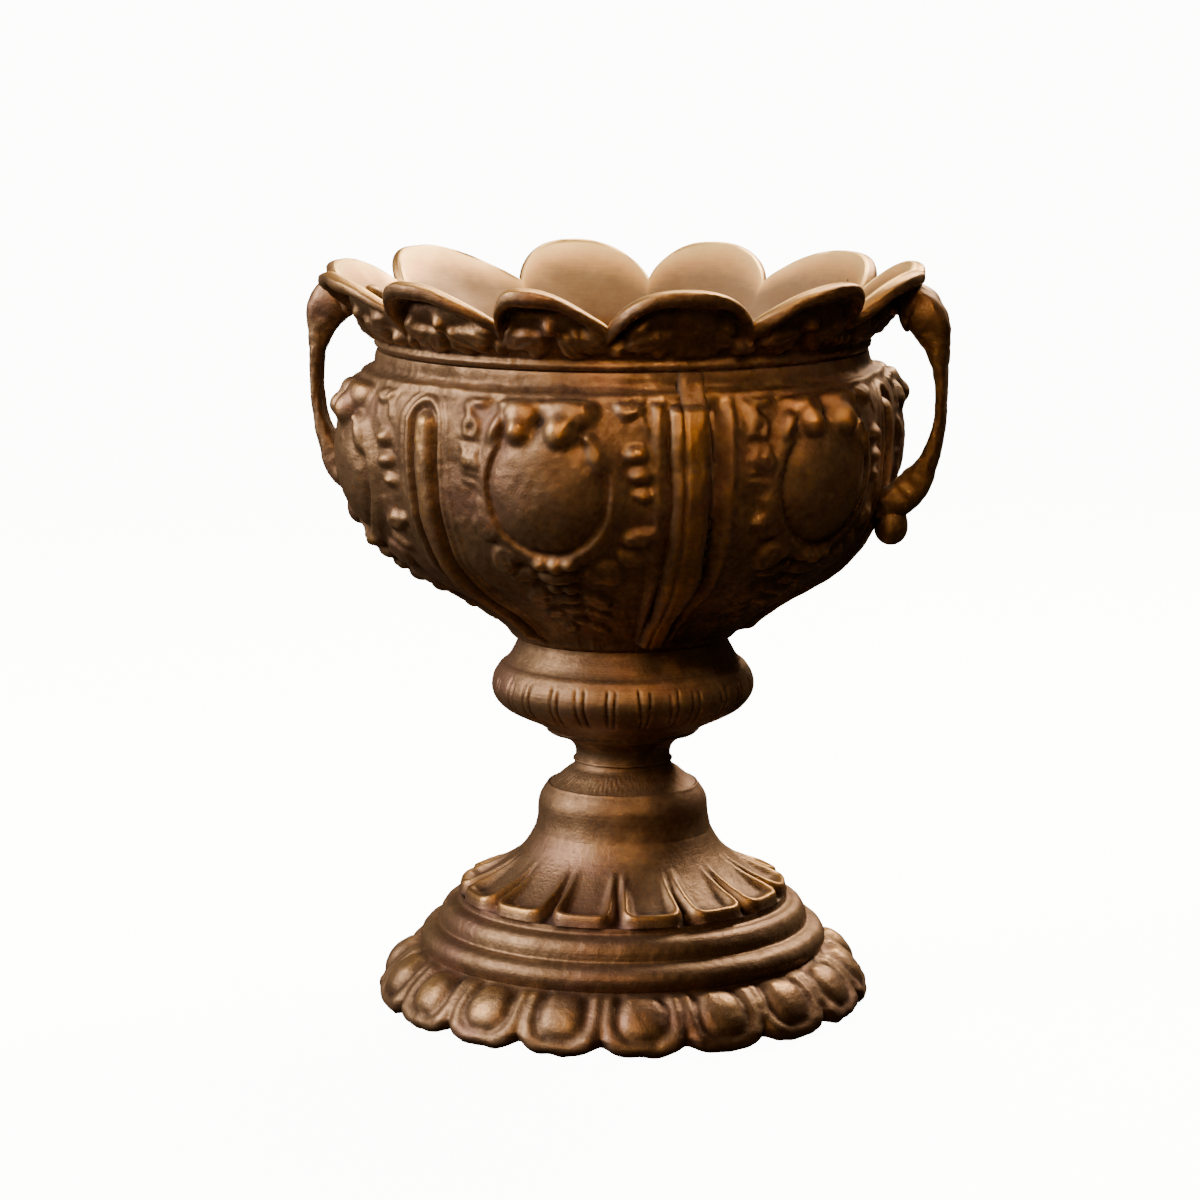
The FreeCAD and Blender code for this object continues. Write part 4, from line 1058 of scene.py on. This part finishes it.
class URN_OT_bowl(bpy.types.Operator):
    """Spins the two halves of the bowl and raises its lobes, ribs, bosses and ornament"""
    bl_idname = "urn.bowl"
    bl_label = "Bowl"

    def execute(self, context):
        bowl = in_mm(context.scene.urn_bowl)
        columns = 900
        radius, height, worn_and_shaded, side = bowl_fields(bowl, columns)
        inner = bowl_inside(bowl, side)
        section = np.vstack([side[:, :2], inner[:, :2]])
        for name, node, start in (
            ("bowl_right_casting", "bowl_half_right", FRONT_SEAM),
            ("bowl_left_casting", "bowl_half_left", REAR_SEAM),
        ):
            angle = start + np.arange(columns // 2 + 1)[None, :] * 360 / columns
            taken = np.rint(angle[0] * columns / 360).astype(int) % columns
            inside = lobed_radius(inner[:, 0:1], inner[:, 2:3], from_lobe(angle))
            full_radius = np.vstack([radius[:, taken], inside])
            full_height = np.vstack([height[:, taken], inner[:, 1:2] + 0 * inside])
            form = (full_radius, angle, full_height, worn_and_shaded[:, taken])
            piece, row = spun_piece(name, section, form, start, 180.0)
            inner_faces(piece, row >= len(side))
            finish_piece(piece, ["sand_cast_brass", "brushed_brass_inside"], node)
        return {"FINISHED"}


class URN_OT_straps(bpy.types.Operator):
    """Spins the hammered straps that cover the seams of the bowl"""
    bl_idname = "urn.straps"
    bl_label = "Seam straps"

    def execute(self, context):
        bowl = in_mm(context.scene.urn_bowl)
        draws = np.random.default_rng(SEED + 4)
        side = bowl_side(bowl)
        valley = np.column_stack([side[:, 0] - side[:, 2], side[:, 1]])
        front = valley[(valley[:, 1] > BOWL_BASE + 4) & (valley[:, 1] < CROWN_BASE - 0.5)]
        rows = len(front)
        normal = outward(front)
        normal[0], normal[-1] = normal[1], normal[-2]
        back_depth, bare_depth, bedding = 2.9, 1.5, 0.8
        back = (front - normal * back_depth)[::-1]
        section = np.vstack([front + normal * bowl.strap_height, back])
        columns, sweep = 36, 12.0
        share = np.linspace(-1, 1, columns + 1)[None, :]
        up = np.vstack([front, back])[:, 1:2] + 0 * share
        narrow = np.clip((up - BOWL_BASE) / 40, 0.55, 1) ** 0.6
        offset = share * (bowl.strap_width / 2 * narrow) * 1.5 - 3.0 * narrow
        over, level = (offset / narrow)[:rows], up[:rows]
        # A raised bar up to the neck, with a crease, and a thin band beside it that runs up to the crown
        bar = bowl.strap_height * 2.0 * flat_hump(over + 2.7, 8.2, 4) ** 0.5
        bar = (bar - hump(over, -5.0, 0.9) * (bar > 1)) * ramp(level, CROWN_BASE - 12, -4) ** 0.5
        band = bowl.strap_height * flat_hump(over - 0.1, 5.5, 6) ** 0.5
        ends = ramp(level, up.min(), 2.5) ** 0.5
        wander = 0.5 * np.sin(up / 9.0) + 0.3 * np.sin(up / 4.1 + 1)
        for name, node, middle in (
            ("front_strap", "seam_strap_front", FRONT_SEAM),
            ("rear_strap", "seam_strap_rear", REAR_SEAM),
        ):
            dents = rough_skin(share * 9, level, 50, draws, (0.3, 16), (0.14, 5))
            lift = np.maximum(bar, band)
            lift = lift + dents * np.clip(lift, 0, 1)
            lift = np.where(lift > 0, lift * ends, -bare_depth) - bedding
            radius, height = lifted(np.vstack([front, back]), normal, lift)
            angle = middle + np.degrees((offset + wander * share) / radius)
            relief = np.clip((lift - bowl.strap_height * 0.9) / 3.0, -1, 1)
            piece, _ = spun_piece(name, section, (radius, angle, height, relief), middle - sweep / 2, sweep)
            finish_piece(piece, ["sand_cast_brass"], node)
        return {"FINISHED"}


# Crown


# Where each petal starts round the crown in degrees, how far its tip leans back towards that start, and how
# far the tip stays under the highest one, in mm
PETAL_STARTS = [
    (10, 0.0, 1.5), (38, 0.1, 1.5), (71, -0.05, 0.8), (99, -0.1, 0.0), (129, -0.3, 0.0), (163, 0.0, 1.5),
    (197, 0.15, 1.5), (232, 0.3, 0.5), (259, 0.35, 0.8), (282, 0.05, 1.2), (312, -0.2, 1.2), (340, 0.0, 0.3),
]
# Height over the neck up to which the crown is upright, and the angle, root and length of a garland's leaves
UPRIGHT = 3.8
GARLAND_LEAVES = ((-62, 4, 12.5), (-34, 8, 12.0), (-10, 12, 11.0), (24, 15, 9.5))


def petal_places(angle):
    """Petal of each place round the crown, where it is on that petal from -1 to 1, and the petal's width."""
    starts = np.array(PETAL_STARTS)[:, 0]
    edges = np.concatenate([starts, [starts[0] + 360]])
    turned = (angle - starts[0]) % 360 + starts[0]
    petal = np.clip(np.searchsorted(edges, turned, side="right") - 1, 0, len(starts) - 1)
    wide = np.diff(edges)[petal]
    return petal, (turned - edges[petal]) / wide * 2 - 1, wide


def petal_rise(crown, petal, local):
    """Height of the crown's edge above the neck, round its petals."""
    _, leans, drops = np.array(PETAL_STARTS).T
    share = np.clip(1 - np.abs(local + leans[petal] * (1 - local ** 2)), 0, 1)
    highest = crown.rise - drops[petal]
    return crown.notch_rise + (highest - crown.notch_rise) * (1 - (1 - share) ** 2.4) ** 0.85


def flare(crown, neck, up):
    """Outer radius of the crown at a height above the neck."""
    share = np.clip((up - UPRIGHT) / (crown.rise - UPRIGHT), 0, 1.1)
    return neck + (crown.radius - neck) * (0.9 * share + 0.1 * share ** 2.2)


def garland(crown, across, up, draws):
    """Leaves and buds under the lip of one petal, in mm from its middle and above the neck."""
    parts = [mound(across, up, (draws.uniform(-1, 1), 16.5, 3.4, 3.0, crown.garland_height * 1.1, 0))]
    for hand in (-1, 1):
        for tilt, root, long in GARLAND_LEAVES:
            spot = (root * 0.85, 15.8 - root * 0.25 + draws.uniform(-0.8, 0.8), long, 4.0,
                    crown.garland_height * draws.uniform(0.75, 1.1), tilt + draws.uniform(-9, 9))
            parts.append(leaf(across * hand, up, spot))
        parts.append(mound(across * hand, up, (23.5, 8.6, 3.6, 2.8, crown.garland_height, 25)))
    return np.maximum.reduce(parts)


def crown_relief(crown, angle, up, radius, petal_shape, draws):
    """Relief of the crown's outer side: rolled lips, leaves, the bar on the seam and the bead at the neck."""
    petal, local, wide, rise, from_edge = petal_shape
    lively = ramp(rise, crown.notch_rise, 8)
    thick = np.clip(0.8 - 0.5 * local + 0.25 * uneven(angle, 0 * rise, 22, 115, draws), 0.2, 1.3)
    roll = ridge(from_edge - 2.2 - 2.6 * thick, 2.6 + 2.4 * thick, crown.lip_roll)
    roll = roll * (0.3 + 0.7 * lively) * (0.35 + 0.65 * thick)
    shade = -2.6 * hump(from_edge - 7.6 - 5.0 * thick, 0, 2.6) * lively * thick
    leaves = np.zeros_like(up)
    for number in range(PETALS):
        over = petal[0] == number
        across = np.radians(local * wide / 2)[:, over] * radius[:, over]
        leaves[:, over] = garland(crown, across, up[:, over], draws)
    from_seam = np.radians(turn_from(angle, FRONT_SEAM)) * radius
    bar = 1.9 * flat_hump(from_seam, 7.5, 6)
    leaves = np.maximum(leaves * ramp(np.abs(from_seam), 6, 3), bar)
    leaves = leaves * ramp(from_edge, 6.0, 3) * ramp(up, 4.2, 2)
    return blurred(leaves + roll + shade + ridge(up - 2.2, 1.9, 1.7), 2)


class URN_OT_crown(bpy.types.Operator):
    """Spins the flared rim, cuts its petals and rolls their lips"""
    bl_idname = "urn.crown"
    bl_label = "Crown"

    def execute(self, context):
        crown = in_mm(context.scene.urn_crown)
        neck = context.scene.urn_bowl.neck_radius / MM
        draws = np.random.default_rng(SEED + 5)
        columns = 720
        outer_rows, lip_rows, inner_rows = 56, 6, 30
        inner_start = outer_rows + lip_rows
        angle = around(columns)
        petal, local, wide = petal_places(angle)
        rise = petal_rise(crown, petal, local)
        up = np.linspace(0, 1, outer_rows)[:, None] * (rise - 1.2)
        radius = flare(crown, neck, up)
        from_edge = (rise - up) * 1.25
        field = crown_relief(crown, angle, up, radius, (petal, local, wide, rise, from_edge), draws)
        wave = rough_skin(angle, up, 115, draws, (0.4, 18), (0.16, 5))
        lift = field - 1.6 * hump(from_edge, 0, 2.2) + wave * ramp(up, 0, 3)
        lean_out, lean_down = 0.82, 0.5
        outer = radius + lift * lean_out
        outer_up = up - lift * lean_down * ramp(up, 0, 6)
        # The inner side follows the flare, and half a turn joins it to the outer side at the lip
        inner_share = np.linspace(1, 0, inner_rows)[:, None]
        inner_up = UPRIGHT + inner_share * (rise - 1.4 - UPRIGHT)
        inner = flare(crown, neck, inner_up) - crown.wall * 1.15
        turn = np.linspace(0, np.pi, lip_rows + 2)[1:-1, None]
        ends = ((outer[-1:], inner[:1]), (outer_up[-1:], inner_up[:1]))
        lip, lip_up = ((out + back) / 2 + (out - back) / 2 * np.cos(turn) for out, back in ends)
        lip_up = lip_up + np.sin(turn)
        inner = inner + 0.25 * uneven(angle, inner_up, 20, 115, draws) * np.clip(inner_share * 4, 0, 1)
        # A spigot of four corners goes down into the bowl
        spigot = np.array([(neck - 6.4, 0), (neck - 6.4, -4), (neck - 3.4, -4), (neck - 3.4, 0)])
        under, under_up = spread(spigot, columns)
        all_radius = np.vstack([outer, lip, inner, under])
        all_up = np.vstack([outer_up, lip_up, inner_up, under_up]) + CROWN_BASE
        section = np.column_stack([all_radius[:, 0], all_up[:, 0]])
        # The lip is made bright, and the inside is painted brighter the nearer it is to the tips, a painted
        # highlight
        relief = np.zeros_like(all_radius)
        relief[:outer_rows] = wear_and_shade(field, 30, 3.0) + 0.4 * hump(from_edge, 0, 2.5)
        relief[outer_rows:inner_start] = 0.9
        relief[inner_start:inner_start + inner_rows] = inner_share ** 2.4
        piece, row = spun_piece("petal_crown", section, (all_radius, angle, all_up, relief))
        inner_faces(piece, row >= outer_rows + lip_rows // 2)
        finish_piece(piece, ["sand_cast_brass", "brushed_brass_inside"], "rim_crown")
        return {"FINISHED"}


# Handles


# Centre line of the right handle from the crown to the bowl: reach past the grip's, height over the neck,
# half thickness and half width
HANDLE_LINE = [
    (-17.0, 17.5, 9.0, 7.5),
    (-9.5, 17.5, 9.4, 7.5),
    (-4.6, 12.0, 8.4, 7.2),
    (-1.6, 5.0, 6.0, 6.6),
    (0.2, -4.0, 3.5, 6.0),
    (0.8, -13.0, 2.5, 5.4),
    (0.7, -22.0, 2.3, 5.2),
    (-0.6, -32.0, 2.8, 5.3),
    (-4.0, -42.0, 4.2, 5.8),
    (-9.0, -51.0, 6.3, 6.6),
    (-17.0, -58.5, 7.0, 7.0),
    (-26.0, -62.0, 6.6, 7.0),
]


def rod_blank(name, rows, columns):
    """A ball as the blank of a cast bar, with its rows along the bar, and the row and turn of each point."""
    bpy.ops.object.select_all(action="DESELECT")
    bpy.ops.mesh.primitive_uv_sphere_add(segments=columns, ring_count=rows, radius=1)
    blank = bpy.context.active_object
    blank.name = blank.data.name = name
    spots = points_of(blank.data)
    row = np.arccos(np.clip(spots[:, 2], -1, 1)) / np.pi * rows
    return blank, row, np.arctan2(spots[:, 1], spots[:, 0])


def edge_wear_and_shade(mesh):
    """How far each point of a free form stands out from its neighbours, evened out."""
    passes = 6
    count = len(mesh.vertices)
    spots, normals = points_of(mesh), points_of(mesh, "normal")
    edges = np.zeros(len(mesh.edges) * 2, np.int32)
    mesh.edges.foreach_get("vertices", edges)
    ties = np.maximum(np.bincount(edges, minlength=count), 1)
    first, last = edges.reshape(-1, 2).T
    run = spots[last] - spots[first]
    far = np.maximum(np.linalg.norm(run, axis=1), 1e-7)
    bend = np.zeros(count)
    np.add.at(bend, first, -np.einsum("ij,ij->i", run, normals[first]) / far)
    np.add.at(bend, last, np.einsum("ij,ij->i", run, normals[last]) / far)
    bend = bend / ties
    for _ in range(passes):
        total = np.zeros(count)
        np.add.at(total, first, bend[last])
        np.add.at(total, last, bend[first])
        bend = (bend + total / ties) / 2
    return bend


def wall_behind(context, level):
    """Radius just under the skin of the crown and the bowl at a level, where the ends of a handle stop."""
    bowl = in_mm(context.scene.urn_bowl)
    crown = in_mm(context.scene.urn_crown)
    side = bowl_side(bowl)
    on_bowl = np.interp(level, side[:, 1], side[:, 0] - side[:, 2])
    on_crown = flare(crown, bowl.neck_radius, level - CROWN_BASE)
    return np.where(level > CROWN_BASE, on_crown, on_bowl) - 1.0


def squared_off(value):
    """A sine or cosine swollen towards its ends, which makes a round section squarer."""
    return np.sign(value) * np.abs(value) ** 0.75


def handle_bar(context, handle, draws):
    """The bar of the right handle along its centre line, with dents, a step and an inner groove."""
    rows, columns = 150, 56
    bar, row, turn = rod_blank("right_handle", rows, columns)
    line = np.array(HANDLE_LINE)
    knots = run_lengths(line)
    fine = np.linspace(0, knots[-1], 400)
    traced = spline(knots, line, fine)
    along = row / rows * knots[-1]
    reach, up, thick, wide = (np.interp(along, fine, values) for values in traced.T)
    slope = np.gradient(traced[:, :2], axis=0)
    slope /= np.linalg.norm(slope, axis=1)[:, None]
    out_reach = np.interp(along, fine, -slope[:, 1])
    out_up = np.interp(along, fine, slope[:, 0])
    from_end = np.clip(np.minimum(row, rows - row) / 4, 0, 1)
    closing = np.sqrt(np.clip(1 - (1 - from_end) ** 2, 0, 1))
    flat, broad = squared_off(np.cos(turn)), squared_off(np.sin(turn))
    angle = np.degrees(turn)
    dents = 1 + 0.07 * uneven(angle, along, 14, 6, draws) + 0.035 * uneven(angle, along, 5, 6, draws)
    step = 1 - 0.14 * hump(along, 33, 1.6)
    groove = 0.9 * hump(broad, 0, 0.4) * ramp(along, 30, 10) * ramp(along, 75, -10)
    across = thick * flat * closing * dents * step + groove * (flat < 0)
    side = wide * broad * closing * dents
    place = handle.grip_reach + reach + out_reach * across
    level = CROWN_BASE + up + out_up * across
    metal = wall_behind(context, level)
    place_points(bar.data, np.column_stack([np.maximum(place, np.sqrt(metal ** 2 - side ** 2)), side, level]))
    return bar


def handle_drop(handle):
    """The pear-shaped drop under the right handle."""
    rows, columns = 48, 40
    inset, depth = 18.6, 66.6
    drop, row, turn = rod_blank("handle_drop", rows, columns)
    level = np.pi * row / rows
    pear = np.sin(level) * (1 - 0.22 * np.cos(level))
    place_points(drop.data, np.column_stack([
        handle.grip_reach - inset + handle.drop_radius * pear * np.cos(turn),
        handle.drop_radius * 1.15 * pear * np.sin(turn),
        CROWN_BASE - depth + handle.drop_length * np.cos(level)]))
    return drop


class URN_OT_handles(bpy.types.Operator):
    """Shapes the right handle from a bar and a drop, and mirrors it for the left one"""
    bl_idname = "urn.handles"
    bl_label = "Handles"

    def execute(self, context):
        handle = in_mm(context.scene.urn_handle)
        right = handle_bar(context, handle, np.random.default_rng(SEED + 6))
        drop = handle_drop(handle)
        union = right.modifiers.new("drop", "BOOLEAN")
        union.operation = "UNION"
        union.solver = "EXACT"
        union.object = drop
        pick(right)
        bpy.ops.object.modifier_apply(modifier=union.name)
        bpy.data.objects.remove(drop)
        turn_outward()
        # Edges come out bright and hollows dark in the finish: wear and oxide, with painted shade in the
        # hollows
        give_relief(right.data, np.clip(edge_wear_and_shade(right.data) * 3.0 - 0.1, -1, 1))
        pick(right)
        bpy.ops.object.duplicate()
        left = context.active_object
        left.name = left.data.name = "left_handle"
        edit_all()
        bpy.ops.transform.resize(value=(-1, 1, 1), center_override=(0, 0, 0))
        turn_outward()
        finish_piece(right, ["sand_cast_brass"], "handle_right")
        finish_piece(left, ["sand_cast_brass"], "handle_left")
        return {"FINISHED"}


class URN_OT_fastenings(bpy.types.Operator):
    """Gives the rivets, the tie rod and its nuts and washers their finishes"""
    bl_idname = "urn.fastenings"
    bl_label = "Fastenings"

    def execute(self, context):
        finishes = {
            "peened_brass": ("upper_rivets", "lower_rivets"),
            "oiled_steel": ("tie_rod", "foot_washer", "foot_nut", "bowl_washer", "bowl_nut"),
        }
        for name, nodes in finishes.items():
            for node in nodes:
                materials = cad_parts[node].data.materials
                materials.clear()
                materials.append(finish_named(name))
        return {"FINISHED"}


# Stage


# Lights: name, place, aim and size in metres, power in watts, colour and angle of the beam in degrees
LAMPS = [
    ("key_left", (-1.4, -0.75, 1.0), (0, 0, 0.17), (0.8, 1.0), 52, "#fff0e6", 180),
    ("overhead", (0.0, 0.5, 1.2), (0, 0.1, 0.28), (0.6, 0.4), 18, "#ffe8c4", 180),
    ("rim_right", (0.4, 1.0, 1.1), (0, 0, 0.17), (0.4, 0.4), 26, "#ffe6cc", 180),
    ("warm_front", (-0.05, -1.3, 0.85), (0, 0, 0.17), (0.14, 0.6), 7, "#ffc47c", 180),
    ("warm_high", (0.5, -0.9, 1.1), (0.06, -0.08, 0.3), (0.2, 0.2), 0.1, "#ffcc88", 8),
]
FLOOR_SIZE = 60
FLOOR_GLOW = 14.0
ROOM_COLOUR = "#b89878"
ROOM_GLOW = 0.06
SENSOR_WIDTH = 36
PICTURE_SHIFT = (-0.019, 0.004)


def add_lamp(name, place, aim, size, power, shade, beam):
    """A soft light at a place that looks at its aim."""
    bpy.ops.object.light_add(type="AREA", location=place)
    lamp = bpy.context.active_object
    lamp.name = name
    lamp.data.shape = "RECTANGLE"
    lamp.data.size, lamp.data.size_y = size
    lamp.data.energy = power
    lamp.data.color = linear(shade)
    lamp.data.spread = math.radians(beam)
    way = np.array(aim) - np.array(place)
    level = math.hypot(way[0], way[1])
    lamp.rotation_euler = (math.atan2(level, -way[2]), 0, math.atan2(-way[0], way[1]))


class URN_OT_stage(bpy.types.Operator):
    """Lays the pale floor and sets the lights and the camera"""
    bl_idname = "urn.stage"
    bl_label = "Stage"

    def execute(self, context):
        stage = context.scene.urn_stage
        shade = opaque(context.scene.urn_finish.floor)
        bpy.ops.object.select_all(action="DESELECT")
        bpy.ops.mesh.primitive_plane_add(size=FLOOR_SIZE, location=(0, 0, 0))
        floor = context.active_object
        floor.name = "studio_floor"
        # Matt white paper, bright to the camera but unlit in the brass
        end_surface(new_material("pale_studio_floor"), {
            "Base Color": shade, "Roughness": 0.9, "Specular IOR Level": 0.1,
            "Emission Color": shade, "Emission Strength": FLOOR_GLOW})
        floor.data.materials.append(bpy.data.materials["pale_studio_floor"])
        floor.visible_diffuse = False
        floor.visible_glossy = False
        world = bpy.data.worlds.new("dim_studio")
        world.use_nodes = True
        context.scene.world = world
        back = world.node_tree.nodes["Background"]
        back.inputs["Color"].default_value = opaque(linear(ROOM_COLOUR))
        back.inputs["Strength"].default_value = ROOM_GLOW
        for lamp in LAMPS:
            add_lamp(*lamp)
        bpy.ops.object.camera_add()
        camera = context.active_object
        camera.name = "photo_camera"
        side, front = math.sin(stage.azimuth), math.cos(stage.azimuth)
        camera.location = (stage.distance * side, -stage.distance * front, stage.camera_height)
        drop = stage.camera_height - stage.aim_height
        camera.rotation_euler = (math.pi / 2 - math.atan2(drop, stage.distance), 0, stage.azimuth)
        camera.data.lens = stage.lens
        camera.data.sensor_width = SENSOR_WIDTH
        camera.data.shift_x, camera.data.shift_y = PICTURE_SHIFT
        context.scene.camera = camera
        return {"FINISHED"}


OPERATORS = (
    URN_OT_foot, URN_OT_stem, URN_OT_knop, URN_OT_bowl, URN_OT_straps, URN_OT_crown, URN_OT_handles,
    URN_OT_fastenings, URN_OT_stage,
)


class URN_PT_panel(bpy.types.Panel):
    """Lists the pieces of the urn and their sizes"""
    bl_idname = "URN_PT_panel"
    bl_label = "Pedestal urn"
    bl_space_type = "VIEW_3D"
    bl_region_type = "UI"
    bl_category = "Urn"

    def draw(self, context):
        for operator in OPERATORS:
            self.layout.operator(operator.bl_idname)
        for name, group in GROUPS.items():
            box = self.layout.box()
            for field in group.__annotations__:
                box.prop(getattr(context.scene, name), field)


CLASSES = (*GROUPS.values(), *OPERATORS, URN_PT_panel)


def register():
    for made in CLASSES:
        bpy.utils.register_class(made)
    for name, group in GROUPS.items():
        setattr(bpy.types.Scene, name, bpy.props.PointerProperty(type=group))


def unregister():
    for name in GROUPS:
        delattr(bpy.types.Scene, name)
    for made in reversed(CLASSES):
        bpy.utils.unregister_class(made)


def main():
    register()
    bpy.ops.urn.foot()
    bpy.ops.urn.stem()
    bpy.ops.urn.knop()
    bpy.ops.urn.bowl()
    bpy.ops.urn.straps()
    bpy.ops.urn.crown()
    bpy.ops.urn.handles()
    bpy.ops.urn.fastenings()
    bpy.ops.urn.stage()


if __name__ == "__main__":
    main()
